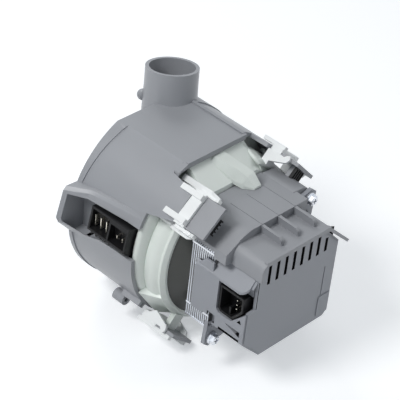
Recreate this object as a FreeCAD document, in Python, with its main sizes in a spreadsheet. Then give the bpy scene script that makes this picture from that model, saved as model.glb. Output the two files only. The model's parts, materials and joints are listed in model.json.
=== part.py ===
import FreeCAD, Part
import math
import os
import re
import Sketcher
from FreeCAD import Placement, Rotation, Vector

# Dishwasher circulation pump with its heater drum and wet-running motor.
# Millimetres, degrees. +Z is up, the shaft lies along Y and +Y is the suction side.
# The origin is the middle of the suction mouth. Depths are measured behind the drum's
# front rim, towards the motor.

doc = FreeCAD.newDocument("DishwasherPump")
sheet = doc.addObject("Spreadsheet::Sheet", "Sizes")

sizes = [
    # drum and its front
    ("suction_reach", 22, "suction mouth to drum rim"),
    ("suction_bore", 44, "bore of the suction mouth"),
    ("suction_wall", 5, "wall of the suction mouth"),
    ("drum_radius", 70, "outer radius of the drum"),
    ("drum_wall", 3, "wall of the drum"),
    ("drum_depth", 62, "length of the drum"),
    ("drum_lift", 6, "drum axis above the shaft"),
    ("left_tongue_back", 84, "rear end of the drum's left tongue"),
    ("right_tongue_back", 76, "rear end of the drum's right tongue"),
    ("front_wall", 4, "front wall of the drum"),
    ("dome_base", 50, "base radius of the front dome"),
    ("dome_tip", 34, "tip radius of the front dome"),
    ("dome_rise", 12, "height of the front dome"),
    ("band_rise", 0.8, "raised band round the front of the drum"),
    ("band_depth", 12.9, "width of that band at the top"),
    ("band_tilt", 7.8, "slant of that band"),
    # flat deck on the drum
    ("deck_height", 70, "deck above the shaft"),
    ("deck_depth", 66, "rear edge of the deck"),
    ("deck_thick", 3.5, "thickness of the deck"),
    ("deck_left", 37, "reach of the deck to the left"),
    ("deck_right", 28, "reach of the deck to the right"),
    ("bead_size", 2.2, "bead along the deck"),
    # pressure outlet
    ("outlet_outside", 38, "outer diameter of the outlet"),
    ("outlet_wall", 2.6, "wall of the outlet"),
    ("outlet_land", 11, "straight land for the hose at the mouth"),
    ("outlet_draft", 0.8, "widening of the duct down to its foot"),
    ("outlet_aside", 26.5, "outlet mouth beside the shaft"),
    ("outlet_ahead", 6.9, "outlet mouth ahead of the drum rim"),
    ("outlet_height", 88, "outlet mouth above the shaft"),
    ("outlet_foot", 46, "lower end of the outlet duct"),
    ("outlet_lean", 11.4, "lean of the outlet from upright"),
    ("outlet_heading", 46.6, "direction of that lean"),
    # hood over the heater terminals
    ("hood_reach", 82.6, "hood's front corner from the shaft"),
    ("hood_top", 35.5, "top of the hood's front"),
    ("hood_low", 12.5, "lower front corner of the hood"),
    ("hood_root", 5.5, "root of the hood below the shaft"),
    ("hood_wall", 3, "wall of the hood"),
    ("pocket_top", 31, "ceiling of the terminal pocket"),
    ("pocket_low", 6, "rear floor of the terminal pocket"),
    ("pocket_back", 59.8, "back wall of the terminal pocket from the shaft"),
    ("pocket_skin", 2, "back wall of the terminal pocket"),
    # terminals
    ("block_front", 21.5, "front end of the terminal block"),
    ("block_length", 36, "length of the terminal block"),
    ("block_top", 29.5, "top of the terminal block"),
    ("block_low", 11.5, "underside of the terminal block"),
    ("block_wall", 1.6, "wall of the terminal block"),
    ("blade_pitch", 7.5, "spacing of the contact blades"),
    ("blade_thick", 0.8, "thickness of a contact blade"),
    ("blade_width", 9, "width of a contact blade"),
    # heater and inner pump
    ("heater_radius", 56, "outer radius of the heater tube"),
    ("heater_wall", 1.2, "wall of the heater tube"),
    ("heater_front", 8, "front end of the heater tube"),
    ("heater_back", 46, "rear end of the heater tube"),
    ("intake_radius", 24, "outer radius of the intake tube"),
    ("intake_wall", 3, "wall of the intake tube"),
    ("impeller_radius", 33, "radius of the impeller"),
    ("eye_radius", 17, "radius of the impeller eye"),
    ("impeller_front", 38, "front of the impeller"),
    ("impeller_depth", 9, "depth of the impeller"),
    ("vane_thick", 2, "thickness of an impeller vane"),
    ("guide_thick", 2, "plate of the guide wheel"),
    # rear flange
    ("flange_front", 50, "front of the rear flange"),
    ("flange_wall", 7, "front wall of the rear flange"),
    ("flange_back", 81.5, "rear rim of the rear flange"),
    ("flange_radius", 60.5, "radius of the flange's bellows ring"),
    ("flange_skin", 4, "wall of the bellows ring"),
    ("platform_left", 25, "reach of the ring's top platform to the left"),
    ("platform_right", 24.5, "reach of that platform to the right"),
    ("platform_low", 46, "underside of that platform"),
    ("tooth_width", 12.6, "width of the locking tooth"),
    # rotor
    ("shaft_radius", 4, "radius of the shaft"),
    ("shaft_tail", 119, "rear end of the shaft"),
    ("magnet_radius", 20, "radius of the rotor magnet"),
    ("magnet_front", 88, "front of the rotor magnet"),
    ("magnet_length", 26, "length of the rotor magnet"),
    ("air_gap", 1, "rotor to can"),
    ("can_wall", 1.2, "wall of the separating can"),
    ("can_back", 123, "rear end of the separating can"),
    ("can_flange", 34, "radius of the can's flange"),
    ("bearing_radius", 9, "outer radius of a bearing"),
    ("bearing_length", 9, "length of the front bearing"),
    ("bearing_seat", 6, "depth of the rear bearing's seat"),
    ("running_fit", 0.05, "radial play of the shaft"),
    ("seat_gap", 0.3, "play between fixed pieces"),
    # stator
    ("stator_front", 91, "front face of the stator"),
    ("stack_length", 21.5, "length of the stator stack"),
    ("stator_half_width", 43.5, "half the width of the stator"),
    ("stator_half_height", 40, "half the height of the stator"),
    ("stator_corner", 9, "corner cut of the stator"),
    ("slot_outer", 33.5, "outer radius of the stator slots"),
    ("coil_reach", 5.2, "coil ends past the stack"),
    ("cleat_height", 1.6, "height of a stack cleat"),
    ("cleat_rise", 0.7, "cleat above the stack"),
    # electronics housing
    ("box_left", 46, "left face of the housing"),
    ("box_right", 42, "right face of the housing"),
    ("box_top", 39, "top of the housing"),
    ("box_bottom", 43, "underside of the housing"),
    ("box_back", 145.5, "rear rim of the housing"),
    ("box_wall", 2.4, "wall of the housing"),
    ("cheek_front", 97, "front edge of the housing's cheek"),
    ("plate_thick", 2, "thickness of the rear plate"),
    ("plate_margin", 1.6, "rim round the rear plate"),
    ("vent_pitch", 8, "spacing of the vent slots"),
    ("vent_width", 2.8, "width of a vent slot"),
    ("vent_height", 18, "height of a vent slot"),
    ("vent_low", 19.5, "lower end of the vent slots"),
    ("bay_front", 119.5, "front of the connector bay"),
    ("bay_low", 11, "connector bay below the shaft"),
    ("bay_top", 12, "connector bay above the shaft"),
    ("bay_depth", 20, "depth of the connector bay"),
    ("screw_aside", 42.5, "stator screw beside the shaft"),
    ("screw_height", 39, "stator screw above or below the shaft"),
    ("screw_radius", 2.2, "radius of a stator screw"),
    ("ear_radius", 6, "radius of a screw ear"),
    ("ear_thick", 4, "thickness of a screw ear"),
    # hooks and latches
    ("hook_rise", 9.5, "hook above the bellows ring"),
    ("hook_thick", 2.5, "thickness of a hook"),
    ("hook_foot", 55, "inner radius of an upper hook's post"),
    ("hook_width", 25, "width of a hook"),
    ("left_hook_front", 94, "front end of the upper left hook"),
    ("right_hook_front", 86, "front end of the upper right hook"),
    ("lower_hook_front", 77, "front end of a lower hook"),
    ("hook_length", 16, "length of a hook's plate"),
    ("left_latch_angle", 130, "latch at the upper left"),
    ("right_latch_angle", 44, "latch at the upper right"),
    ("latch_width", 26, "width of a latch"),
    ("latch_thick", 5, "thickness of a latch's bridge"),
    ("latch_rise", 14.4, "top of an upper latch above the bellows ring"),
    ("lower_latch_rise", 12.5, "top of a lower latch above the bellows ring"),
    ("prong_thick", 3, "thickness of a prong"),
    ("prong_width", 4, "width of a prong"),
    ("left_prong_front", 75, "front end of the upper left prongs"),
    ("right_prong_front", 66, "front end of the upper right prongs"),
    ("lower_prong_front", 60, "front end of the lower prongs"),
    ("lower_prong_back", 90, "rear end of the lower prongs"),
    ("arm_thick", 2.5, "thickness of a latch's side arm"),
    # drip cover
    ("cover_front", 82, "front edge of the drip cover"),
    ("cover_top", 48, "top of the drip cover"),
    ("cover_step", 123, "step down to the pockets"),
    ("cover_floor", 42, "floor of the pockets"),
    ("cover_back", 149.5, "rear lip of the drip cover"),
    ("cover_thick", 2.4, "wall of the drip cover"),
    ("cover_half", 46, "half the width of the drip cover"),
    ("cover_flat", 28, "half the width of its flat top"),
    ("cover_edge", 37.5, "side edge of the cover above the shaft"),
    ("rib_pitch", 16, "spacing of the cover ribs"),
    ("rib_thick", 2.4, "thickness of a cover rib"),
    ("rib_length", 19, "length of a cover rib"),
]
for row, (alias, value, note) in enumerate(sizes, 1):
    sheet.set(f"A{row}", note)
    sheet.set(f"B{row}", str(value))
    sheet.setAlias(f"B{row}", alias)
doc.recompute()


def expression(text):
    """Names of sizes as the document's own expressions."""
    return re.sub(r"\b([a-z][a-z_]+)\b(?!\()", r"Sizes.\1", text)


def number(text):
    return float(sheet.evalExpression(expression(text)))


def bind(item, name, text):
    item.setExpression(name, expression(text))


def depth(text):
    """Y of a depth behind the drum's rim."""
    return f"-(suction_reach + ({text}))"


def place(item, x="0", y="0", z="0"):
    for axis, text in zip("xyz", (x, y, z)):
        bind(item, f"Placement.Base.{axis}", text)
    return item


def box(name, x, y, z, length, width, height):
    item = doc.addObject("Part::Box", name)
    bind(item, "Length", length)
    bind(item, "Width", width)
    bind(item, "Height", height)
    return place(item, x, y, z)


def slab(name, x_low, x_high, d_front, d_back, z_low, z_high):
    """A box between two places on each axis, with depths behind the rim on Y."""
    return box(name, x_low, depth(d_back), z_low, f"({x_high}) - ({x_low})",
               f"({d_back}) - ({d_front})", f"({z_high}) - ({z_low})")


def rod(name, radius, d_front, d_back, x="0", z="0"):
    """A cylinder along Y between two depths."""
    item = doc.addObject("Part::Cylinder", name)
    bind(item, "Radius", radius)
    bind(item, "Height", f"({d_back}) - ({d_front})")
    item.Placement = Placement(Vector(), Rotation(Vector(1, 0, 0), -90))
    return place(item, x, depth(d_back), z)


def cut(name, base, *tools):
    item = doc.addObject("Part::Cut", name)
    item.Base = base
    item.Tool = tools[0] if len(tools) == 1 else fuse(name + "_tools", *tools)
    return item


def fuse(name, *shapes):
    if len(shapes) == 1:
        return group(name, *shapes)
    item = doc.addObject("Part::MultiFuse", name)
    item.Shapes = list(shapes)
    return item


def overlap(name, *shapes):
    item = doc.addObject("Part::MultiCommon", name)
    item.Shapes = list(shapes)
    return item


def group(name, *shapes):
    """Separate solids kept in one node."""
    item = doc.addObject("Part::Compound", name)
    item.Links = list(shapes)
    return item


def tube(name, outer, inner, d_front, d_back, x="0", z="0"):
    return cut(name, rod(name + "_outside", outer, d_front, d_back, x, z),
               rod(name + "_bore", inner, f"({d_front}) - 1", f"({d_back}) + 1", x, z))


def origin_plane(body, role):
    return next(f for f in body.Origin.OriginFeatures if f.Role == role)


def outline(body, name, plane, points, offset="0"):
    """A closed sketch through points, each held by two dimensions from the sheet."""
    sketch = body.newObject("Sketcher::SketchObject", name)
    sketch.AttachmentSupport = [(origin_plane(body, plane), "")]
    sketch.MapMode = "FlatFace"
    bind(sketch, "AttachmentOffset.Base.z", offset)
    spots = [Vector(number(u), number(v), 0) for u, v in points]
    count = len(spots)
    for i in range(count):
        sketch.addGeometry(Part.LineSegment(spots[i], spots[(i + 1) % count]), False)
    for i in range(count):
        sketch.addConstraint(Sketcher.Constraint("Coincident", i, 2, (i + 1) % count, 1))
    for i, (u, v) in enumerate(points):
        for kind, text, value in (("DistanceX", u, spots[i].x), ("DistanceY", v, spots[i].y)):
            index = sketch.addConstraint(Sketcher.Constraint(kind, -1, 1, i, 1, value))
            bind(sketch, f"Constraints[{index}]", text)
    return sketch


def turned(name, points, z="0"):
    """A body turned about the Y axis from points given as radius and depth."""
    body = doc.addObject("PartDesign::Body", name)
    spun = body.newObject("PartDesign::Revolution", name + "_turn")
    sketch = outline(body, name + "_profile", "XY_Plane", [(r, depth(d)) for r, d in points])
    spun.Profile = sketch
    spun.ReferenceAxis = (sketch, ["V_Axis"])
    spun.Angle = 360
    body.Tip = spun
    place(body, z=z)
    return body


def extruded(name, points, d_front, d_back):
    """A body with an outline in X and Z, between two depths."""
    body = doc.addObject("PartDesign::Body", name)
    sketch = outline(body, name + "_outline", "XZ_Plane", points, f"suction_reach + ({d_front})")
    pad = body.newObject("PartDesign::Pad", name + "_pad")
    pad.Profile = sketch
    bind(pad, "Length", f"({d_back}) - ({d_front})")
    body.Tip = pad
    return body


def side_extruded(name, points, x_low, x_high):
    """A body with an outline of depths and heights, between two places on X."""
    body = doc.addObject("PartDesign::Body", name)
    sketch = outline(body, name + "_outline", "YZ_Plane", [(depth(d), z) for d, z in points], x_low)
    pad = body.newObject("PartDesign::Pad", name + "_pad")
    pad.Profile = sketch
    bind(pad, "Length", f"({x_high}) - ({x_low})")
    body.Tip = pad
    return body


def lofted(name, sections):
    """A ruled loft through outlines in X and Z at given depths."""
    body = doc.addObject("PartDesign::Body", name)
    sketches = []
    for i, (d, points) in enumerate(sections):
        sketches.append(outline(body, f"{name}_section{i}", "XZ_Plane", points, f"suction_reach + ({d})"))
    loft = body.newObject("PartDesign::AdditiveLoft", name + "_loft")
    loft.Profile = sketches[0]
    loft.Sections = sketches[1:]
    loft.Ruled = True
    body.Tip = loft
    return body


def turn_about_shaft(item, angle):
    """Turns a piece modelled at the +X side to an angle seen from the motor's end."""
    item.Placement = Placement(Vector(), Rotation(Vector(0, 1, 0), 1))
    bind(item, "Placement.Rotation.Angle", f"-({angle})")
    return item


half_drum = "drum_radius - drum_wall"

# Pump housing: drum, front dome, suction mouth, outlet duct, deck, terminal hood and cable lug
lean = number("outlet_lean")
heading = math.radians(number("outlet_heading"))
lean_axis = Vector(-math.sin(heading), math.cos(heading), 0)


def outlet_piece(name, radius, extra):
    """A leaning duct on a ball foot: a run with draft, and a straight land longer than the mouth by extra."""
    run = doc.addObject("Part::Cone", name + "_run")
    bind(run, "Radius1", f"{radius} + outlet_draft")
    bind(run, "Radius2", radius)
    bind(run, "Height", "(outlet_height - outlet_foot) / cos(outlet_lean) - outlet_land")
    ball = doc.addObject("Part::Sphere", name + "_foot")
    bind(ball, "Radius", f"{radius} + outlet_draft")
    land = doc.addObject("Part::Cylinder", name + "_land")
    bind(land, "Radius", radius)
    bind(land, "Height", f"outlet_land + {extra}")
    slope = "(outlet_height - outlet_foot) * tan(outlet_lean)"
    for item, aside, height in ((run, slope, "outlet_foot"), (ball, slope, "outlet_foot"),
                                (land, "outlet_land * sin(outlet_lean)",
                                 "outlet_height - outlet_land * cos(outlet_lean)")):
        item.Placement = Placement(Vector(), Rotation(lean_axis, lean))
        place(item, f"outlet_aside - {aside} * cos(outlet_heading)",
              f"-suction_reach + outlet_ahead - {aside} * sin(outlet_heading)", height)
    return fuse(name, run, ball, land)


drum_skin = rod("drum_skin", "drum_radius", "0", "drum_depth", z="drum_lift")
deck_cutter = slab("deck_cutter", "-drum_radius", "drum_radius", "-1", "drum_depth + 1", "deck_height",
                   "drum_radius + drum_lift + 5")
drum_flat = cut("drum_flat", drum_skin, deck_cutter)

band_disc = rod("band_disc", "drum_radius + band_rise", "0", "band_depth + 12", z="drum_lift")
band_trim = doc.addObject("Part::Box", "band_trim")
for side in ("Length", "Width", "Height"):
    bind(band_trim, side, "4 * drum_radius")
band_trim.Placement = Placement(Vector(), Rotation(Vector(0, 0, 1), -number("band_tilt")))
place(band_trim, "-2 * drum_radius * cos(band_tilt) - 4 * drum_radius * sin(band_tilt)",
      depth("band_depth") + " + 2 * drum_radius * sin(band_tilt) - 4 * drum_radius * cos(band_tilt)",
      "-2 * drum_radius")
band = cut("front_band", band_disc, band_trim, deck_cutter)

deck_plate = extruded("deck_plate", [
    ("-deck_left", "deck_height - deck_thick - 3"), ("-deck_left + 3", "deck_height - deck_thick - 1"),
    ("-cover_flat", "deck_height - deck_thick"), ("deck_right - 1", "deck_height - deck_thick"),
    ("deck_right - 1", "deck_height"), ("-cover_flat", "deck_height"),
    ("-deck_left + 1", "deck_height - 3.4")], "drum_depth - 1", "deck_depth")
bead = slab("deck_bead", "deck_right - bead_size", "deck_right", "band_depth - 8", "deck_depth - 2",
            "deck_height - 2", "deck_height + bead_size / 2")
rear_lip = slab("deck_lip", "-cover_flat", "deck_right", "deck_depth - bead_size", "deck_depth",
                "deck_height - 2", "deck_height + bead_size / 4")



def tongue(name, side, back):
    """A tongue of the drum that reaches back under a latch, narrower at its rear end."""
    sections = []
    for d, angles in (("drum_depth - 1", (31, 58)), (back, (36, 55))):
        rays = [(f"{side} * 1.4 * drum_radius * cos({a})", f"drum_lift + 1.4 * drum_radius * sin({a})")
                for a in angles]
        sections.append((d, [("0", "drum_lift"), *rays]))
    return overlap(name, tube(name + "_shell", "drum_radius", half_drum, "drum_depth - 1", back, z="drum_lift"),
                   lofted(name + "_wedge", sections))


tongues = [tongue("left_tongue", "-1", "left_tongue_back"), tongue("right_tongue", "1", "right_tongue_back")]

dome = turned("front_dome", [
    ("0", "0"), ("dome_base", "0"), ("dome_tip", "-dome_rise"), ("0", "-dome_rise")])
collar = rod("suction_collar", "suction_bore / 2 + suction_wall", "-suction_reach", "0")
outlet_skin = outlet_piece("outlet_skin", "outlet_outside / 2", "0")
outlet_bore = outlet_piece("outlet_bore", "outlet_outside / 2 - outlet_wall", "5")

hood_skin = lofted("hood_skin", [
    ("0", [("-58", "hood_top - 1"), ("-hood_reach + 8", "hood_top"), ("-hood_reach + 5.4", "hood_top - 2.5"),
           ("-hood_reach", "hood_low"), ("-hood_reach + 2.1", "hood_low - 5"), ("-drum_radius + 1.3", "-hood_root"),
           ("-58", "-hood_root")]),
    ("16", [("-58", "hood_top + 2"), ("-hood_reach + 16.4", "hood_top + 1.5"), ("-hood_reach + 14.4", "hood_top - 0.5"),
            ("-hood_reach + 9.6", "hood_low"), ("-hood_reach + 10.6", "hood_low - 7"), ("-drum_radius + 2", "-hood_root"),
            ("-58", "-hood_root")]),
    ("drum_depth", [("-56", "hood_top + 5.5"), ("-60.4", "hood_top + 4.7"), ("-62.8", "hood_top + 1.5"),
                    ("-68", "hood_low + 2.5"), ("-68.6", "hood_low - 7.5"), ("-drum_radius + 3", "-hood_root + 1.5"),
                    ("-58", "-hood_root + 1.5")])])
pocket_skin_body = lofted("pocket_skin_body", [
    ("0", [("-drum_radius - 1", "pocket_top + hood_wall"), ("-pocket_back + pocket_skin", "pocket_top + hood_wall"),
           ("-pocket_back + pocket_skin", "-hood_root"), ("-drum_radius - 1", "-hood_root")]),
    ("drum_depth / 2", [("-drum_radius - 1", "pocket_top + hood_wall"),
                        ("-pocket_back + pocket_skin", "pocket_top + hood_wall"),
                        ("-pocket_back + pocket_skin", "pocket_low - hood_wall"),
                        ("-drum_radius - 1", "pocket_low - hood_wall")]),
    ("flange_front", [("-drum_radius - 1", "pocket_top + hood_wall"),
                      ("-pocket_back + pocket_skin", "pocket_top + hood_wall"),
                      ("-pocket_back + pocket_skin", "pocket_low - hood_wall"),
                      ("-drum_radius - 1", "pocket_low - hood_wall")])])
pocket_skin = overlap("pocket_skin_solid", pocket_skin_body, rod("pocket_limit", "drum_radius - 1", "0", "flange_front",
                                                                z="drum_lift"))
floor_cut = [("-100", "hood_low"), ("-100", "pocket_top"), ("-pocket_back", "pocket_top")]
pocket_room = lofted("pocket_room", [
    ("hood_wall", [*floor_cut, ("-pocket_back", "-hood_root + hood_wall"),
                   ("-drum_radius + 1.5", "-hood_root + hood_wall"), ("-hood_reach + 2.4", "hood_low - 2.3")]),
    ("16", [*floor_cut, ("-pocket_back", "-1.5"), ("-67", "-1.5"), ("-drum_radius - 0.2", "1")]),
    ("drum_depth / 2", [*floor_cut, ("-pocket_back", "pocket_low"), ("-67", "pocket_low"),
                        ("-drum_radius - 2", "pocket_low")]),
    ("drum_depth + 2", [*floor_cut, ("-pocket_back", "pocket_low"), ("-67", "pocket_low"),
                        ("-drum_radius - 2", "pocket_low")])])

lug_angle = "-137"
lug_boss = rod("lug_boss", "4.4", "36", "46", "drum_radius + 5", "0")
lug_web = slab("lug_web", "drum_radius - 6", "drum_radius + 5", "37", "45", "-1.6", "1.6")
lug_tab = slab("lug_tab", "drum_radius - 3", "drum_radius + 3.4", "45", "drum_depth", "-9", "-6.6")
lug_rib = slab("lug_rib", "drum_radius - 3", "drum_radius + 3.4", "42", "drum_depth", "-4.2", "-2.6")
cable_lug = turn_about_shaft(fuse("cable_lug", lug_boss, lug_web, lug_tab, lug_rib), lug_angle)
bind(cable_lug, "Placement.Base.z", "drum_lift")
lug_hole = turn_about_shaft(fuse("lug_hole", rod("lug_hole_round", "1.8", "34", "48", "drum_radius + 5", "0")),
                            lug_angle)
bind(lug_hole, "Placement.Base.z", "drum_lift")

housing_skin = fuse("housing_skin", drum_flat, band, deck_plate, bead, rear_lip, dome, collar, outlet_skin,
                    hood_skin, cable_lug, *tongues)
drum_hollow = rod("drum_hollow", half_drum, "front_wall", "left_tongue_back + 1", z="drum_lift")
drum_hollow_flat = cut("drum_hollow_flat", drum_hollow, slab(
    "deck_keeper", "-deck_left", "deck_left", "0", "drum_depth + 30", "deck_height - deck_thick",
    "drum_radius + drum_lift + 5"))
dome_hollow = turned("dome_hollow", [
    ("suction_bore / 2 + suction_wall", "front_wall + 1"), ("dome_base - front_wall", "front_wall + 1"),
    ("dome_base - front_wall", "0"), ("dome_tip - front_wall", "-dome_rise + front_wall"),
    ("suction_bore / 2 + suction_wall", "-dome_rise + front_wall")])
mouth_bore = rod("mouth_bore", "suction_bore / 2", "-suction_reach - 1", "front_wall + 1")
intake_seat = rod("intake_seat", "intake_radius + seat_gap / 3", "-suction_reach / 2", "front_wall + 2")
pump_housing = cut("pump_housing", fuse("housing_with_pocket", cut(
    "housing_hollowed", housing_skin, drum_hollow_flat), pocket_skin), dome_hollow, mouth_bore, intake_seat,
    outlet_bore, pocket_room, lug_hole)

# Seal round the suction mouth, with two lips
mouth_outside = "suction_bore / 2 + suction_wall"
suction_seal = turned("suction_seal", [
    (mouth_outside, "-suction_reach + 3"), (mouth_outside + " + 1.2", "-suction_reach + 3"),
    (mouth_outside + " + 2.8", "-suction_reach + 4.5"), (mouth_outside + " + 1.2", "-suction_reach + 5.5"),
    (mouth_outside + " + 2.8", "-suction_reach + 7"), (mouth_outside + " + 1.2", "-suction_reach + 8.5"),
    (mouth_outside, "-suction_reach + 8.5")])

# Intake tube from the mouth to the impeller's eye
intake_inside = "intake_radius - intake_wall"
intake_tube = turned("intake_tube", [
    ("intake_radius", "-suction_reach / 2"), ("intake_radius", "heater_back - 26"),
    ("eye_radius + 2.6", "impeller_front - 2"), ("eye_radius + 2.6", "impeller_front - 0.5"),
    ("eye_radius + seat_gap", "impeller_front - 0.5"), ("eye_radius + seat_gap", "impeller_front - 5"),
    (intake_inside, "heater_back - 28"), (intake_inside, "-suction_reach / 2")])

# Heater tube between two end seals
heater_tube = tube("heater_tube", "heater_radius", "heater_radius - heater_wall", "heater_front", "heater_back",
                   z="drum_lift")
heater_front_seal = tube("heater_front_seal", "heater_radius + 1.2", "heater_radius - 4", "front_wall",
                         "heater_front", z="drum_lift")
heater_rear_seal = tube("heater_rear_seal", "heater_radius + 1.2", "heater_radius - 4", "heater_back",
                        "flange_front", z="drum_lift")

# Terminal block with contact blades and two sensor pins
block_back = "block_front + block_length"
block_skin = extruded("block_skin", [
    ("-pocket_back", "block_top - 1"), ("-drum_radius", "block_top"), ("-drum_radius - 3.6", "block_low"),
    ("-drum_radius + 4", "pocket_low + seat_gap"), ("-pocket_back", "pocket_low + seat_gap")],
    "block_front", block_back)
chambers = []
for i, (front, back) in enumerate((("block_front + block_wall", "block_front + block_length * 0.5"),
                                   ("block_front + block_length * 0.5 + block_wall", block_back + " - block_wall"))):
    top = "block_top - block_wall" if i == 0 else "block_top - block_wall - 2"
    chambers.append(extruded(f"chamber{i}", [
        ("-drum_radius + 4", top), ("-drum_radius - 8", top), ("-drum_radius - 8", "block_low + block_wall"),
        ("-drum_radius + 4", "block_low + block_wall")], front, back))
coding_ribs = [slab(f"coding_rib{i}", "-drum_radius - 2.6", "-drum_radius + 0.5", f"block_front + 2.5 + {i} * 4.2",
                    f"block_front + 4 + {i} * 4.2", "block_low - 2.6", "block_low + 0.5") for i in range(5)]
terminal_block = cut("terminal_block", fuse("block_solid", block_skin, *coding_ribs), *chambers)

blades = []
for i in range(3):
    d_blade = f"block_front + 2.6 + {i} * blade_pitch * 0.72"
    blades.append(slab(f"blade_{i + 1}", "-drum_radius + 0.8", "-drum_radius + 4", d_blade,
                       d_blade + " + blade_thick", "block_low + 2.6", "block_low + 2.6 + blade_width"))
terminal_blades = group("terminal_blades", *blades)
pins = []
for i in range(2):
    d_pin = f"block_front + 24 + {i} * 5.2"
    pins.append(slab(f"sensor_pin_{i + 1}", "-drum_radius + 0.8", "-drum_radius + 4", d_pin, d_pin + " + 0.8",
                     "block_low + 4", "block_low + 6.8"))
sensor_pins = group("sensor_pins", *pins)



def hook(name, angle, low, front, post):
    """A flat hook on a post that stands a given way behind its front edge."""
    return turn_about_shaft(fuse(
        name, slab(f"{name}_plate", "flange_radius + hook_rise", "flange_radius + hook_rise + hook_thick", front, f"{front} + hook_length",
                   "-hook_width / 2", "hook_width / 2"),
        slab(f"{name}_post", low, "flange_radius + hook_rise + 0.5", f"{front} + {post}", f"{front} + {post} + 4",
             "-hook_width / 5", "hook_width / 5")), angle)


# Rear flange: a disc in the drum's bore and a bellows ring. On top the ring is cut down to a platform
# that carries the locking tooth, and under the lower latches it has ramps and their hooks.
outer = "flange_radius"
flange_turn = turned("flange_turn", [
    ("shaft_radius + 9", "flange_front"), (outer + " - 1.5", "flange_front"), (outer + " - 1.5", "flange_front + 4"),
    (outer + " - 8.5", "flange_front + 7.5"), (outer + " - 8.5", "flange_front + 8.5"),
    (outer + " - 3.5", "flange_front + 11"), (outer + " - 0.7", "flange_front + 14"), (outer, "flange_front + 16.5"),
    (outer, "flange_front + 21"), (outer + " - 0.8", "flange_front + 23.8"), (outer + " - 2.6", "flange_front + 26"),
    (outer + " - 2.6", "flange_front + 27"), (outer + " - 1", "flange_back - 3"), (outer + " - 0.8", "flange_back - 2"),
    (outer + " - 4", "flange_back"), (outer + " - flange_skin - 2", "flange_back"),
    (outer + " - flange_skin - 2", "flange_back - 8"), (outer + " - flange_skin", "flange_front + 20"),
    (outer + " - flange_skin", "flange_front + 15"), (outer + " - flange_skin - 8", "flange_front + 10"),
    (outer + " - flange_skin - 8", "flange_front + flange_wall"), ("shaft_radius + 9", "flange_front + flange_wall")])
platform_line = [("drum_depth + seat_gap", "deck_height - deck_thick - seat_gap"), ("flange_front + 18", "deck_height - 7.4"),
                 ("flange_front + 25", "deck_height - 13.4"), ("flange_back", "cover_top + 3.4")]
platform = lofted("ring_platform", [
    (d, [("-platform_left", "platform_low"), ("-platform_left", top), ("platform_right", top),
         ("platform_right + 5", f"{top} - 3.4"), ("platform_right + 6", f"{top} - 5"),
         ("platform_right + 3", "platform_low")]) for d, top in platform_line])
platform_air = lofted("platform_air", [
    (d, [("-platform_left", top), ("platform_right", top), ("platform_right + 5", f"{top} - 3.4"),
         ("platform_right + 5", "drum_radius"), ("-platform_left", "drum_radius")]) for d, top in platform_line])
flange_ring = cut("flange_ring", flange_turn, platform_air)
flange_disc = rod("flange_disc", half_drum + " - seat_gap", "flange_front", "flange_front + 4", z="drum_lift")
flange_disc_flat = cut("flange_disc_flat", flange_disc, slab(
    "flange_flat", "-drum_radius", "drum_radius", "0", "drum_depth", "deck_height - deck_thick - seat_gap",
    "drum_radius + drum_lift + 5"))
tooth_top = "cover_top + 18"
tooth = lofted("locking_tooth", [
    ("deck_depth + seat_gap", [("-7", "platform_low + 12"), ("tooth_width - 6", "platform_low + 12"),
                               ("tooth_width - 6.6", tooth_top), ("-3", tooth_top), ("-7", f"{tooth_top} - 2.5")]),
    ("flange_back + 0.5", [("1", "cover_top + 2"), ("tooth_width + 0.9", "cover_top + 2"),
                           ("tooth_width - 0.6", f"{tooth_top} - 5.8"), ("4.5", f"{tooth_top} - 6"),
                           ("1", "cover_top + 4.8")]),
    ("flange_back + 6.5", [("3.6", "cover_top + seat_gap"), ("tooth_width + 3.6", "cover_top + seat_gap"),
                           ("tooth_width + 1.3", f"{tooth_top} - 8"), ("7.2", f"{tooth_top} - 9.5"),
                           ("3.6", "cover_top + 3")]),
    ("flange_back + 12.5", [("9", "cover_top + seat_gap"), ("tooth_width + 3.3", "cover_top + seat_gap"),
                            ("tooth_width + 3", "cover_top + 1.8"), ("10", "cover_top + 1.8"),
                            ("9.2", "cover_top + 1.2")])])


def ramp(name, angle, near, far):
    """A ramp off the ring beside a latch, high at the front, between two places along the tangent."""
    steep, flat = "flange_radius + 6", "flange_radius - 3"
    body = lofted(name + "_skin", [
        ("flange_front + 13", [("flange_radius - 10", near), (steep, near), (f"{steep} - 8.5", f"{far} * 1.1"),
                               ("flange_radius - 10", far)]),
        ("flange_back - 0.5", [("flange_radius - 10", near), (flat, near), (f"{flat} - 5.5", f"{far} * 0.9"),
                               ("flange_radius - 10", f"{far} * 0.9")])])
    return turn_about_shaft(body, angle)


ramps = []
for name, angle in (("lower_left", "-left_latch_angle"), ("lower_right", "-right_latch_angle")):
    for sign in (1, -1):
        ramps.append(ramp(f"ramp_{name}{sign}", angle, f"{sign} * 0", f"{sign} * 29"))
ring_ramps = cut("ring_ramps", fuse("ramp_set", *ramps),
                 rod("ramp_bore", "flange_radius - 3", "flange_front", "flange_back + 1"))
flange_bore = rod("flange_bore", "shaft_radius + 9", "flange_front - 1", "flange_front + flange_wall + 1")
flange_notch = slab("flange_notch", "-drum_radius - 2", "-pocket_back + pocket_skin + seat_gap", "flange_front - 1",
                    "flange_front + 4.5", "-hood_root - 1", "pocket_top + hood_wall + seat_gap")
ring_hooks = [hook("hook_lower_left", "-left_latch_angle", "flange_radius - 2", "lower_hook_front", "0.4"),
              hook("hook_lower_right", "-right_latch_angle", "flange_radius - 2", "lower_hook_front", "0.4")]
flange_solid = fuse("flange_solid", flange_ring, *ring_hooks, cut("flange_disc_notched", flange_disc_flat, flange_notch),
                    platform, tooth, ring_ramps)
rear_flange = cut("rear_flange", flange_solid, flange_bore)

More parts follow.
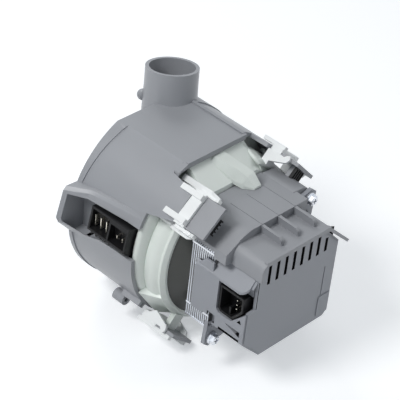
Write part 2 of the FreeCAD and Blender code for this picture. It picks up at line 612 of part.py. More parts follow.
# Latches: a bridge over the hook's front, two prongs, and side arms that end in hooked tips


def latch(name, angle, upper, prong_front, body_front, hook_at, rail=False):
    """A latch at the +X side: the upper ones stand on the ring, the lower ones on its ramps."""
    half = "latch_width / 2"
    foot = "flange_radius + seat_gap"
    top = "flange_radius + latch_rise" if upper else "flange_radius + lower_latch_rise"
    prong_back = f"{hook_at} - 0.5" if upper else "lower_prong_back"
    pieces = [slab(f"{name}_bridge", f"{top} - latch_thick" if upper else "flange_radius + 6 + seat_gap", top,
                   body_front, f"{hook_at} - seat_gap", f"-{half}", half)]
    for i, sign in enumerate((-1, 1)):
        middle = f"{sign} * latch_width * 0.37"
        pieces.append(slab(f"{name}_prong{i}", f"{top} - seat_gap", f"{top} - seat_gap + prong_thick", prong_front,
                           prong_back, f"{middle} - prong_width / 2", f"{middle} + prong_width / 2"))
        inner = f"{half} - 0.2" if sign > 0 else f"-{half} + 0.2 - arm_thick"
        arm = extruded_arm(f"{name}_arm{i}", hook_at, inner)
        pieces.append(arm)
        if upper:
            pieces.append(slab(f"{name}_leg{i}", foot + " + 0.6", foot + " + 7", f"{hook_at} - 9.4",
                               f"{hook_at} - 4", inner, f"{inner} + arm_thick"))
    if upper:
        pieces.append(extruded(f"{name}_saddle", [
            (foot + " - 5", f"-{half} - 3.5"), (foot + " + 1.4", f"-{half} - 1.5"), (foot + " + 3.2", f"-{half} + 4"),
            (foot + " + 3.2", f"{half} - 4"), (foot + " + 1.4", f"{half} + 1.5"), (foot + " - 5", f"{half} + 3.5")],
            "drum_depth + seat_gap", f"{hook_at} - 4"))
    if rail:
        pieces.append(slab(f"{name}_rail", foot + " + 0.6", foot + " + 5.4", "drum_depth + 2.5", "flange_back - 1",
                           f"-{half} - 5", f"-{half} - 0.8"))
        pieces.append(lofted(f"{name}_hump", [
            ("flange_back - 4", [(foot + " + 0.6", f"-{half} - 5"), (foot + " + 6", f"-{half} - 5"),
                                 (foot + " + 6", f"-{half}"), (foot + " + 0.6", f"-{half}")]),
            (f"{hook_at} - 2", [(foot + " + 0.6", f"-{half} - 5"), (foot + " + 8", f"-{half} - 5"),
                                (foot + " + 8", f"-{half}"), (foot + " + 0.6", f"-{half}")]),
            (f"{hook_at} + 4", [(foot + " + 3", f"-{half} - 4"), (foot + " + 5", f"-{half} - 4"),
                                (foot + " + 5", f"-{half} - 1"), (foot + " + 3", f"-{half} - 1")])]))
    whole = fuse(f"{name}_whole", *pieces)
    bore = rod(f"{name}_bore", foot, "flange_front", f"{hook_at} + 5")
    return turn_about_shaft(cut(name, whole, bore), angle)


def extruded_arm(name, hook_at, inner):
    """The side arm: it leans outwards past the hook's front and ends in a tip."""
    low = "flange_radius"
    points = [("-9.4", "+ 6.5"), ("-9.4", "+ 10"), ("-1", "+ 10.5"), ("4.5", "+ 10.1"), ("6.6", "+ 12.1"),
              ("8.6", "+ 12.7"), ("9.6", "+ 10"), ("8.3", "+ 7.1"), ("1", "+ 4.3"), ("-4.5", "+ 2.4")]
    body = doc.addObject("PartDesign::Body", name)
    sketch = outline(body, name + "_outline", "XY_Plane",
                     [(f"{low} {r}", depth(f"{hook_at} + {d}")) for d, r in points], inner)
    pad = body.newObject("PartDesign::Pad", name + "_pad")
    pad.Profile = sketch
    bind(pad, "Length", "arm_thick")
    body.Tip = pad
    return body


upper_left_latch = latch("upper_left_latch", "left_latch_angle", True, "left_prong_front",
                         "left_tongue_back + 0.6", "left_hook_front", rail=True)
upper_right_latch = latch("upper_right_latch", "right_latch_angle", True, "right_prong_front",
                          "right_tongue_back + 0.6", "right_hook_front")
lower_left_latch = latch("lower_left_latch", "-left_latch_angle", False, "lower_prong_front",
                         "drum_depth + 0.8", "lower_hook_front")
lower_right_latch = latch("lower_right_latch", "-right_latch_angle", False, "lower_prong_front",
                          "drum_depth + 0.8", "lower_hook_front")

# Dark damper ring between the flange's rim and the stator
damper_seat = "flange_radius - flange_skin - 2 - seat_gap"
damper_cone = turned("damper_cone", [
    (damper_seat, "flange_back - 7"), (damper_seat, "flange_back"), ("stator_half_height + 6", "stator_front - 2.5"),
    ("stator_half_height + 4", "stator_front"), ("stator_half_height + 1.5", "stator_front"),
    ("stator_half_height + 1.5", "stator_front - 3"), (damper_seat + " - 4", "flange_back - 7")])
damper_ring = cut("damper_ring", damper_cone, extruded("damper_relief", [
    ("-cover_half - 5", "cover_edge - 6"), ("-cover_flat", "cover_top - cover_thick - 1"),
    ("cover_flat", "cover_top - cover_thick - 1"), ("cover_half + 5", "cover_edge - 6"),
    ("cover_half + 5", "drum_radius"), ("-cover_half - 5", "drum_radius")], "cover_front - 1", "stator_front + 1"),
    slab("damper_notch", "-platform_left - seat_gap", "platform_right + 6 + seat_gap", "flange_back - 8",
         "stator_front + 1", "platform_low - seat_gap", "drum_radius"))

# Impeller: back disc, hub, curved vanes and front shroud with its neck
impeller_back = "impeller_front + impeller_depth"
hub = turned("impeller_hub", [
    ("shaft_radius", "impeller_front + 1"), ("shaft_radius + 3", "impeller_front + 1"),
    ("shaft_radius + 6", impeller_back + " - 3"), ("impeller_radius", impeller_back + " - 1.6"),
    ("impeller_radius", impeller_back), ("shaft_radius", impeller_back)])
shroud = turned("impeller_shroud", [
    ("eye_radius - 1.6", "impeller_front - 3.5"), ("eye_radius", "impeller_front - 3.5"),
    ("eye_radius", "impeller_front"), ("impeller_radius", "impeller_front + 1.8"),
    ("impeller_radius", "impeller_front + 3.2"), ("eye_radius - 1.6", "impeller_front + 1.4")])
vane_circle = 22
vane_pieces = []
vane_zone = tube("vane_zone", "impeller_radius", "shaft_radius + 5", "impeller_front + 1",
                 impeller_back + " - 1")
for i in range(6):
    turn = math.radians(60 * i)
    x, z = (f"impeller_radius * {math.cos(turn) * 0.62:.6f}", f"impeller_radius * {math.sin(turn) * 0.62:.6f}")
    curve = tube(f"vane_curve{i}", f"{vane_circle}", f"{vane_circle} - vane_thick", "impeller_front",
                 impeller_back, x, z)
    side = extruded(f"vane_side{i}", [
        ("0", "0"),
        (f"impeller_radius * {2 * math.cos(turn + 0.1):.6f}", f"impeller_radius * {2 * math.sin(turn + 0.1):.6f}"),
        (f"impeller_radius * {2 * math.cos(turn + 1.5):.6f}", f"impeller_radius * {2 * math.sin(turn + 1.5):.6f}")],
        "impeller_front", impeller_back)
    vane_pieces.append(overlap(f"vane{i}", curve, vane_zone, side))
impeller = fuse("impeller", hub, shroud, *vane_pieces)

# Guide wheel on the flange, with straight guide vanes
guide_front = "flange_front - guide_thick"
guide_plate = tube("guide_plate", "heater_radius - 10.5", "impeller_radius + 1.5", guide_front, "flange_front")
guide_vanes = []
for i in range(8):
    vane = slab(f"guide_vane{i}", "impeller_radius + 3", "heater_radius - 12", guide_front + " - 6",
                guide_front + " + 1", "6", "8")
    guide_vanes.append(turn_about_shaft(fuse(f"guide_vane_turned{i}", vane), f"{45 * i + 12}"))
guide_wheel = fuse("guide_wheel", guide_plate, *guide_vanes)

# Shaft, rotor magnet and its sleeve
shaft = turned("shaft", [
    ("0", "impeller_front - 1"), ("shaft_radius - 0.6", "impeller_front - 1"), ("shaft_radius", "impeller_front - 0.4"),
    ("shaft_radius", "shaft_tail - 0.6"), ("shaft_radius - 0.6", "shaft_tail"), ("0", "shaft_tail")])
rotor_magnet = tube("rotor_magnet", "magnet_radius - 1", "shaft_radius + 5", "magnet_front + 1",
                    "magnet_front + magnet_length - 1")
rotor_core = tube("rotor_core", "shaft_radius + 5", "shaft_radius", "magnet_front", "magnet_front + magnet_length")
rotor_sleeve = turned("rotor_sleeve", [
    ("shaft_radius + 5", "magnet_front"), ("magnet_radius", "magnet_front"),
    ("magnet_radius", "magnet_front + magnet_length"), ("shaft_radius + 5", "magnet_front + magnet_length"),
    ("shaft_radius + 5", "magnet_front + magnet_length - 1"), ("magnet_radius - 1", "magnet_front + magnet_length - 1"),
    ("magnet_radius - 1", "magnet_front + 1"), ("shaft_radius + 5", "magnet_front + 1")])

# Separating can, its seal, bearings and the front bearing carrier
can_inside = "magnet_radius + air_gap"
can_outside = can_inside + " + can_wall"
can_mouth = "flange_front + flange_wall"
separating_can = turned("separating_can", [
    (can_inside, can_mouth), ("can_flange", can_mouth), ("can_flange", can_mouth + " + 2"),
    (can_outside, can_mouth + " + 2"), (can_outside, "can_back"), ("0", "can_back"),
    ("0", "can_back - can_wall"), ("bearing_radius + running_fit", "can_back - can_wall"),
    ("bearing_radius + running_fit", "can_back - can_wall - bearing_seat"),
    ("bearing_radius + 2", "can_back - can_wall - bearing_seat"), ("bearing_radius + 2", "can_back - can_wall"),
    (can_inside, "can_back - can_wall")])
can_seal = tube("can_seal", "can_flange + 2.6", "can_flange + seat_gap", can_mouth, can_mouth + " + 2")
front_bearing = tube("front_bearing", "bearing_radius", "shaft_radius + running_fit", "magnet_front - 5 - bearing_length",
                     "magnet_front - 5")
bearing_carrier = tube("bearing_carrier", can_inside + " - running_fit", "bearing_radius + running_fit",
                       "magnet_front - 5 - bearing_length", "magnet_front - 8")
rear_bearing_front = "can_back - can_wall - bearing_seat"
rear_bearing = tube("rear_bearing", "bearing_radius", "shaft_radius + running_fit", rear_bearing_front,
                    "can_back - can_wall - 0.5")
thrust_ring = tube("thrust_ring", "bearing_radius - 1", "shaft_radius", "magnet_front - 4.6", "magnet_front - 0.2")

# Stator stack with six slots, cleats, bobbins and coils
stack_back = "stator_front + stack_length"
w, t, c = "stator_half_width", "stator_half_height", "stator_corner"
stack_block = extruded("stack_block", [
    (f"-{w}", f"-{t} + {c}"), (f"-{w} + {c}", f"-{t}"), (f"{w} - {c}", f"-{t}"), (w, f"-{t} + {c}"),
    (w, f"{t} - {c}"), (f"{w} - {c}", t), (f"-{w} + {c}", t), (f"-{w}", f"{t} - {c}")], "stator_front", stack_back)
stack_bore = rod("stack_bore", can_outside + " + seat_gap", "stator_front - 1", stack_back + " + 1")
slot_pieces = []
coil_pieces = []
bobbin_pieces = []
for i in range(6):
    angle = f"{60 * i + 30}"
    slot = slab(f"slot{i}", can_outside + " + 3", "slot_outer", "stator_front - 1", stack_back + " + 1", "-7", "7")
    mouth = slab(f"slot_mouth{i}", can_outside + " - 1", can_outside + " + 4", "stator_front - 1",
                 stack_back + " + 1", "-1.2", "1.2")
    slot_pieces.append(turn_about_shaft(fuse(f"slot_turned{i}", slot, mouth), angle))
    tooth_angle = f"{60 * i}"
    coil_skin = slab(f"coil_skin{i}", can_outside + " + 4.5", "slot_outer - 1.8", "stator_front - coil_reach",
                     stack_back + " + coil_reach", "-9.4", "9.4")
    coil_eye = slab(f"coil_eye{i}", can_outside + " + 3.5", "slot_outer", "stator_front - 2.2", stack_back + " + 2.2",
                    "-7.4", "7.4")
    coil_pieces.append(turn_about_shaft(cut(f"coil_turned{i}", coil_skin, coil_eye), tooth_angle))
stator_core = cut("stator_core", stack_block, stack_bore, *slot_pieces)
stator_coils = cut("stator_coils", group("coil_set", *coil_pieces), fuse(
    "coil_trim", *[turn_about_shaft(fuse(f"coil_trim{i}", slab(
        f"coil_trim_box{i}", can_outside, "slot_outer + 2", "stator_front - 20", stack_back + " + 20", "-0.9",
        "0.9")), f"{60 * i + 30}") for i in range(6)], stator_core))
bobbin_front = tube("bobbin_front", "slot_outer + 2.4", "slot_outer + 0.4", "stator_front - coil_reach",
                    "stator_front")
bobbin_back = tube("bobbin_back", "slot_outer + 2.4", "slot_outer + 0.4", stack_back,
                   stack_back + " + coil_reach")
coil_bobbins = group("coil_bobbins", bobbin_front, bobbin_back)

cleats = []
for i, z_cleat in enumerate(("-22.5", "-32.5", "29")):
    for side, x_low in (("left", f"-{w} - cleat_rise"), ("right", w)):
        if side == "right" and i == 2:
            continue
        cleats.append(slab(f"cleat_{side}{i}", x_low, x_low + " + cleat_rise", "stator_front", stack_back,
                           f"{z_cleat}", f"{z_cleat} + cleat_height"))
stack_cleats = group("stack_cleats", *cleats)

# Electronics housing: cup behind the stator with cheek, connector bay and ears
box_front = stack_back
notch_x = "box_left - 9"
shell_points = [
    ("-box_left", "-box_bottom + 19"), ("-box_left + 19", "-box_bottom"), ("box_right - 4", "-box_bottom"),
    ("box_right", "-box_bottom + 4"), ("box_right", "box_top - 17"), ("box_right - 17", "box_top"),
    (f"-({notch_x})", "box_top"), (f"-({notch_x})", "box_top - 12"), ("-box_left", "box_top - 24")]
box_shell = extruded("box_shell", shell_points, box_front, "box_back")
g = "box_wall"
room_points = [
    (f"-box_left + {g}", f"-box_bottom + 19 + {g} * 0.41"), (f"-box_left + 19 + {g} * 0.41", f"-box_bottom + {g}"),
    (f"box_right - 4 - {g} * 0.41", f"-box_bottom + {g}"), (f"box_right - {g}", f"-box_bottom + 4 + {g} * 0.41"),
    (f"box_right - {g}", f"box_top - 17 - {g} * 0.41"), (f"box_right - 17 - {g} * 0.41", f"box_top - {g}"),
    (f"-({notch_x}) + {g}", f"box_top - {g}"), (f"-({notch_x}) + {g}", f"box_top - 12 - {g} * 0.5"),
    (f"-box_left + {g}", f"box_top - 24 - {g} * 0.5")]
# the coil ends and the can reach into this room through the front wall
box_room = extruded("box_room", room_points, box_front + " + box_wall", "box_back + 1")
coil_room = rod("coil_room", "slot_outer + 2.8", box_front + " - 1", box_front + " + box_wall + 1")
cheek = side_extruded("cheek", [
    ("cheek_front", "-20.5"), ("cheek_front", "box_top - 24.5"), ("cheek_front + 9", "box_top - 14"),
    (box_front + " + 1", "box_top - 14"), (box_front + " + 1", "-20.5")], "-box_left",
    f"-{w} - cleat_rise - seat_gap")
shelf = cut("shelf", extruded("shelf_skin", [
    (f"-({notch_x})", "box_top - 11.5"), ("-box_left - 0.8", "box_top - 21.6"), ("-box_left - 0.8", "box_top - 23.4"),
    (f"-({notch_x})", "box_top - 14.4")], "cheek_front + 1.5", "box_back - 2"), slab(
    "shelf_relief", f"-{w} - cleat_rise - seat_gap", "0", "stator_front", box_front, "0", "box_top"))
shelf_corner = extruded("shelf_corner", [
    ("-box_left - 2", "0"), ("-box_left + 2.6", "0"), ("-box_left + 2.6", "box_top"), ("-box_left - 2", "box_top")],
    "box_back - 9", "box_back + 1")
ears = []
for name, sign in (("upper", "1"), ("lower", "-1")):
    ears.append(extruded(f"ear_plate_{name}", [
        (f"{sign} * (screw_aside + 5)", f"{sign} * (screw_height - 16)"),
        (f"{sign} * (screw_aside + 6.5)", f"{sign} * (screw_height + 3)"),
        (f"{sign} * (screw_aside + 2)", f"{sign} * (screw_height + 6.5)"),
        (f"{sign} * (screw_aside - 14)", f"{sign} * (screw_height + 3)"),
        (f"{sign} * (screw_aside - 26)", f"{sign} * (screw_height - 3)"),
        (f"{sign} * (screw_aside - 7)", f"{sign} * (screw_height - 24)")], box_front, box_front + " + 3"))
    ears.append(rod(f"ear_boss_{name}", "screw_radius + 2.6", box_front, box_front + " + ear_thick",
                    f"{sign} * screw_aside", f"{sign} * screw_height"))
    ears.append(side_extruded(f"ear_gusset_{name}", [
        (box_front + " + 1", f"{sign} * (screw_height - 7)"), (box_front + " + 1", f"{sign} * (screw_height - 16)"),
        (box_front + " + 7.5", f"{sign} * (screw_height - 17)"), (box_front + " + 7.5", f"{sign} * (screw_height - 15)")],
        f"{sign} * screw_aside - 0.9", f"{sign} * screw_aside + 0.9"))


screw_holes = [rod("hole_upper", "screw_radius + 0.1", box_front + " - 1", box_front + " + 20", "screw_aside",
                   "screw_height"),
               rod("hole_lower", "screw_radius + 0.1", box_front + " - 1", box_front + " + 20", "-screw_aside",
                   "-screw_height")]
head_room = [rod("head_room_upper", "ear_radius - 0.6", box_front + " + ear_thick", "box_back + 1", "screw_aside",
                 "screw_height"),
             rod("head_room_lower", "ear_radius - 0.6", box_front + " + ear_thick", "box_back + 1", "-screw_aside",
                 "-screw_height")]
bay_side = side_extruded("bay_side", [
    ("bay_front", "box_top"), ("bay_front", "-bay_low + 2.5"), ("bay_front + 2.5", "-bay_low"),
    ("bay_front + 14", "-bay_low"), ("box_back + 2", "-bay_low + 15"), ("box_back + 2", "box_top")],
    "-box_left - 3", "-box_left + bay_depth")
bay_face = extruded("bay_face", [
    ("-box_left - 3", "-bay_low - 1"), ("-box_left - 3", "box_top - 25.4"), (f"-({notch_x}) - 1.2", "box_top - 14.8"),
    (f"-({notch_x}) - 1.2", "bay_top"), ("-box_left + bay_depth", "bay_top"),
    ("-box_left + bay_depth", "-bay_low - 1")], "bay_front - 1", "box_back + 3")
bay_cut = overlap("bay_cut", bay_side, bay_face)
bay_wall_box = slab("bay_wall_box", "-box_left + 1", "-box_left + bay_depth + 2", "bay_front - 1.5",
                    "box_back - plate_thick", "-bay_low - 2", "bay_top + 2")
bay_wall_top = slab("bay_wall_top", f"-({notch_x}) - 1.2", f"-({notch_x}) + 1", "bay_front - 1.5",
                    "box_back - plate_thick", "bay_top - 1", "box_top - 12")
side_slots = [
    side_extruded("side_slot0", [("bay_front + 4", "-22.2"), ("bay_front + 22.5", "-22.2"), ("bay_front + 22.5", "-25.4"),
                                 ("bay_front + 4", "-24.4")], "-box_left - 1", "-box_left + 4"),
    side_extruded("side_slot1", [("bay_front + 14", "-15.6"), ("bay_front + 22.5", "-15.6"),
                                 ("bay_front + 22.5", "-19.2"), ("bay_front + 10", "-15.9")], "-box_left - 1", "-box_left + 4"),
    slab("side_window", "-box_left - 1", f"-{w} + 3", box_front + " - 4.5", box_front + " + 5", "-27", "-19")]
electronics_housing = cut("electronics_housing", fuse(
    "housing_body", cut("box_cup", box_shell, box_room, coil_room), cheek, cut("shelf_rounded", shelf, shelf_corner),
    *ears, bay_wall_box, bay_wall_top), bay_cut, coil_room, *side_slots, *screw_holes, *head_room)

# Stator screws with flanged heads
screws = []
for name, x, z in (("upper", "screw_aside", "screw_height"), ("lower", "-screw_aside", "-screw_height")):
    stem = rod(f"screw_stem_{name}", "screw_radius", box_front + " + 0.05", box_front + " + ear_thick + 0.1", x, z)
    washer = rod(f"screw_washer_{name}", "screw_radius + 2.2", box_front + " + ear_thick",
                 box_front + " + ear_thick + 1", x, z)
    head = rod(f"screw_head_{name}", "screw_radius + 1.4", box_front + " + ear_thick + 0.9",
               box_front + " + ear_thick + 3.6", x, z)
    screws.append(fuse(f"screw_{name}", stem, washer, head))
stator_screws = group("stator_screws", *screws)

# Rear plate in the housing's rim, with vent slots, a groove and a raised hatch
m = "plate_margin"
plate_points = [
    (f"-box_left + {m}", f"-box_bottom + 19 + {m} * 0.41"), (f"-box_left + 19 + {m} * 0.41", f"-box_bottom + {m}"),
    (f"box_right - 4 - {m} * 0.41", f"-box_bottom + {m}"), (f"box_right - {m}", f"-box_bottom + 4 + {m} * 0.41"),
    (f"box_right - {m}", f"box_top - 17 - {m} * 0.41"), (f"box_right - 17 - {m} * 0.41", f"box_top - {m}"),
    (f"-({notch_x}) + {m}", f"box_top - {m}"), (f"-({notch_x}) + {m}", "box_top - 12"),
    (f"-({notch_x}) - 1", "box_top - 13"), (f"-({notch_x}) - 1", "-bay_low + 13.4"),
    (f"-box_left + {m}", "-bay_low + 13")]
plate_front = "box_back - plate_thick + 0.6"
plate_panel = extruded("plate_panel", plate_points, plate_front, "box_back + 0.6")
vents = []
for i in range(8):
    top = "vent_low + vent_height" if i < 7 else "vent_low + vent_height * 0.62"
    x_vent = f"(-3.5 + {i}) * vent_pitch"
    vents.append(slab(f"vent{i}", f"{x_vent} - vent_width / 2", f"{x_vent} + vent_width / 2", plate_front + " - 1",
                      "box_back + 2", "vent_low", top))
plate_groove = slab("plate_groove", "box_right - 11.5", "box_right - 10.5", "box_back + 0.1", "box_back + 2", "-21",
                    "4.5")
hatch = slab("plate_hatch", "box_right - 13", f"box_right - {m}", "box_back", "box_back + 1.2",
             f"-box_bottom + {m} + 3", "-21.5")
rear_plate = cut("rear_plate", fuse("plate_solid", plate_panel, hatch), *vents, plate_groove)
plate_rebate = extruded("plate_rebate", plate_points, plate_front, "box_back + 2")
housing_rebated = cut("electronics_housing_rebated", electronics_housing, plate_rebate)

# Motor connector and its pins
connector_outline = [
    ("bay_front + 0.4", "bay_top - 0.4"), ("bay_front + 0.4", "-bay_low + 3"), ("bay_front + 3", "-bay_low + 0.4"),
    ("bay_front + 13.6", "-bay_low + 0.4"), ("box_back - plate_thick - 2", "-bay_low + 10.6"),
    ("box_back - plate_thick - 2", "bay_top - 0.4")]
connector_hole = [
    ("bay_front + 2.2", "bay_top - 2.2"), ("bay_front + 2.2", "-bay_low + 3.8"), ("bay_front + 3.8", "-bay_low + 2.2"),
    ("bay_front + 12.8", "-bay_low + 2.2"), ("box_back - plate_thick - 3.8", "-bay_low + 11.2"),
    ("box_back - plate_thick - 3.8", "bay_top - 2.2")]
connector_skin = side_extruded("connector_skin", connector_outline, "-box_left + 1.4", "-box_left + bay_depth")
connector_room = side_extruded("connector_room", connector_hole, "-box_left", "-box_left + bay_depth - 8")
connector_key = slab("connector_key", "-box_left + 3", "-box_left + bay_depth - 7.5", "bay_front + 9",
                     "bay_front + 10.6", "-bay_low + 2", "-bay_low + 8")
motor_connector = fuse("motor_connector", cut("connector_cup", connector_skin, connector_room), connector_key)
connector_pins_list = []
for i in range(4):
    z_pin = f"-bay_low + 7 + {i} * 3.6"
    connector_pins_list.append(slab(f"connector_pin{i}", "-box_left + 5", "-box_left + bay_depth - 8",
                                    "bay_front + 13", "bay_front + 13.8", z_pin, z_pin + " + 0.8"))
connector_pins = group("connector_pins", *connector_pins_list)

# Circuit board behind the can, with its power module, capacitor and heat sink
board_front = "can_back + 3"
circuit_board = extruded("board_panel", [
    ("-box_left + bay_depth + 4", "-box_bottom + 4"), ("box_right - 6", "-box_bottom + 4"),
    ("box_right - 4", "-box_bottom + 8"), ("box_right - 4", "box_top - 22"), ("box_right - 20", "box_top - 4"),
    ("-box_left + bay_depth + 4", "box_top - 4")], board_front, board_front + " + 1.6")
power_module = slab("power_module", "-12", "14", board_front + " + 1.6", board_front + " + 6", "-22", "-8")
bus_capacitor = rod("bus_capacitor", "8", board_front + " + 1.6", board_front + " + 15.5", "18", "6")
filter_choke = tube("filter_choke", "8", "3.4", board_front + " + 1.6", board_front + " + 12", "-6", "8")
heat_sink = fuse("heat_sink", slab("sink_base", "-14", "16", board_front + " + 6", board_front + " + 8", "-24", "-6"),
                 *[slab(f"sink_fin{i}", f"-14 + {i} * 4.7", f"-14 + {i} * 4.7 + 1.4", board_front + " + 7.5",
                        board_front + " + 14.5", "-24", "-6") for i in range(7)])
bosses = []
for i, (x, z) in enumerate((("-box_left + bay_depth + 9", "-box_bottom + 5.5"), ("box_right - 9", "-box_bottom + 12"),
                            ("-box_left + bay_depth + 6", "box_top - 4.5"))):
    bosses.append(rod(f"board_boss{i}", "2.2", box_front + " + box_wall - 0.5", board_front, x, z))

# Drip cover: roof over the stator, stepped down over the electronics, with ribs, visor and two hooks
k = "cover_thick"
roof_skin = extruded("roof_skin", [
    ("-cover_half", "cover_edge"), ("-cover_flat", "cover_top"), ("cover_flat", "cover_top"),
    ("cover_half", "cover_edge"), ("cover_half", "cover_edge - 3"), ("-cover_half", "cover_edge - 3")],
    "cover_front", box_front)
roof_room = extruded("roof_room", [
    (f"-cover_half - 1", f"cover_edge - {k} * 1.9"), (f"-cover_flat + 0.6", f"cover_top - {k}"),
    (f"cover_flat - 0.6", f"cover_top - {k}"), (f"cover_half + 1", f"cover_edge - {k} * 1.9"),
    ("cover_half + 1", "0"), ("-cover_half - 1", "0")], "cover_front - 1", box_front + " + 1")
roof = cut("roof", roof_skin, roof_room)
middle_skin = extruded("middle_skin", [
    ("-cover_half", "cover_edge"), ("-cover_flat", "cover_top"), ("cover_flat + 3", "cover_top"),
    ("cover_flat + 3", "cover_floor - 4"), ("box_right - 15.5", "box_top + seat_gap"),
    (f"-({notch_x}) - seat_gap", "box_top + seat_gap"), (f"-({notch_x}) - seat_gap", "box_top - 10.8"),
    ("-cover_half", "box_top - 9.5")], box_front, "cover_step")
middle_room = slab("middle_room", f"-({notch_x}) + 9", "cover_flat - 2", box_front + " - 1", "cover_step - 2.4",
                   "box_top - 1", f"cover_top - {k}")
middle = cut("middle", middle_skin, middle_room)
floor_skin = extruded("floor_skin", [
    (f"-({notch_x}) - {k} - seat_gap", "cover_floor - 4"), (f"-({notch_x}) + 2", "cover_floor"),
    ("box_right - 15.8", "cover_floor"), ("box_right + 6.5", "cover_floor - 20.5"), ("box_right + 5", "cover_floor - 22"),
    ("box_right - 16.5", "box_top + seat_gap"), (f"-({notch_x}) - seat_gap", "box_top + seat_gap"),
    (f"-({notch_x}) - seat_gap", "box_top - 11"), (f"-({notch_x}) - {k} - seat_gap", "box_top - 11")],
    box_front + " + 8", "cover_back")
ribs = []
for i in range(3):
    x_rib = f"2.5 + {i - 1} * rib_pitch"
    ribs.append(side_extruded(f"cover_rib{i}", [
        ("cover_step - 1", "cover_floor - 0.5"), ("cover_step - 1", "cover_top - 0.4"),
        ("cover_step + rib_length - 2.5", "cover_top - 0.8"), ("cover_step + rib_length", "cover_top - 3"),
        ("cover_step + rib_length", "cover_floor - 0.5")], f"{x_rib} - rib_thick / 2", f"{x_rib} + rib_thick / 2"))
    ribs.append(slab(f"cover_ridge{i}", f"{x_rib} - 0.4", f"{x_rib} + 0.4", "cover_step - 29", "cover_step",
                     "cover_top - 1", "cover_top + 0.35"))
rear_roof_lip = slab("rear_roof_lip", f"-({notch_x}) + 1", "box_right - 16", "cover_back - 2.4", "cover_back",
                     "cover_floor - 1", "cover_floor + 0.8")
screw_clear = slab("screw_clear", "screw_aside - ear_radius - 1", "screw_aside + 10", box_front, "cover_step",
                   "box_top - 24", "cover_top + 5")
cover_hooks = [hook("hook_upper_left", "left_latch_angle", "hook_foot", "left_hook_front", "7"),
               hook("hook_upper_right", "right_latch_angle", "hook_foot", "right_hook_front", "7")]
ear_clear = extruded("ear_clear", [
    ("screw_aside - 27", "screw_height - 5"), ("screw_aside - 14.5", "screw_height + 3.5"),
    ("screw_aside + 2", "screw_height + 7"), ("screw_aside + 7", "screw_height + 3.5"),
    ("screw_aside + 7", "screw_height - 20"), ("screw_aside - 9", "screw_height - 25")], box_front + " - 0.5",
    box_front + " + 3 + seat_gap")
drip_cover = cut("drip_cover", fuse("cover_solid", roof, middle, floor_skin, *ribs, rear_roof_lip, *cover_hooks),
                 screw_clear, ear_clear)

nodes = {
    "pump_housing": pump_housing, "suction_seal": suction_seal, "intake_tube": intake_tube,
    "heater_tube": heater_tube, "heater_front_seal": heater_front_seal, "heater_rear_seal": heater_rear_seal,
    "terminal_block": terminal_block, "terminal_blades": terminal_blades, "sensor_pins": sensor_pins,
    "rear_flange": rear_flange, "upper_left_latch": upper_left_latch, "upper_right_latch": upper_right_latch,
    "lower_left_latch": lower_left_latch, "lower_right_latch": lower_right_latch, "damper_ring": damper_ring,
    "impeller": impeller, "guide_wheel": guide_wheel, "shaft": shaft, "rotor_core": rotor_core,
    "rotor_magnet": rotor_magnet, "rotor_sleeve": rotor_sleeve, "thrust_ring": thrust_ring,
    "separating_can": separating_can, "can_seal": can_seal, "front_bearing": front_bearing,
    "bearing_carrier": bearing_carrier, "rear_bearing": rear_bearing, "stator_core": stator_core,
    "stator_coils": stator_coils, "coil_bobbins": coil_bobbins, "stack_cleats": stack_cleats,
    "electronics_housing": fuse("electronics_housing_whole", housing_rebated, *bosses),
    "stator_screws": stator_screws, "rear_plate": rear_plate, "motor_connector": motor_connector,
    "connector_pins": connector_pins, "circuit_board": circuit_board, "power_module": power_module,
    "bus_capacitor": bus_capacitor, "filter_choke": filter_choke, "heat_sink": heat_sink,
    "drip_cover": drip_cover,
}
for name, item in nodes.items():
    item.Label = name
doc.recompute()

failed = [item.Label for item in doc.Objects if "Invalid" in item.State or "Error" in item.State]
for name, item in nodes.items():
    if item.Shape.isNull() or not item.Shape.isValid() or not item.Shape.Solids:
        failed.append(name)
if failed:
    raise RuntimeError("not built: " + ", ".join(sorted(set(failed))))

os.makedirs("parts", exist_ok=True)
for name, item in nodes.items():
    item.Shape.exportStep(f"parts/{name}.step")
    size = item.Shape.BoundBox
    print(f"{name:22s} solids {len(item.Shape.Solids)}  volume {item.Shape.Volume / 1000:8.2f} cm3  "
          f"{size.XLength:6.1f} x {size.YLength:6.1f} x {size.ZLength:6.1f}")
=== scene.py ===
import json
import math

import bmesh
import bpy
from mathutils import Matrix, Vector

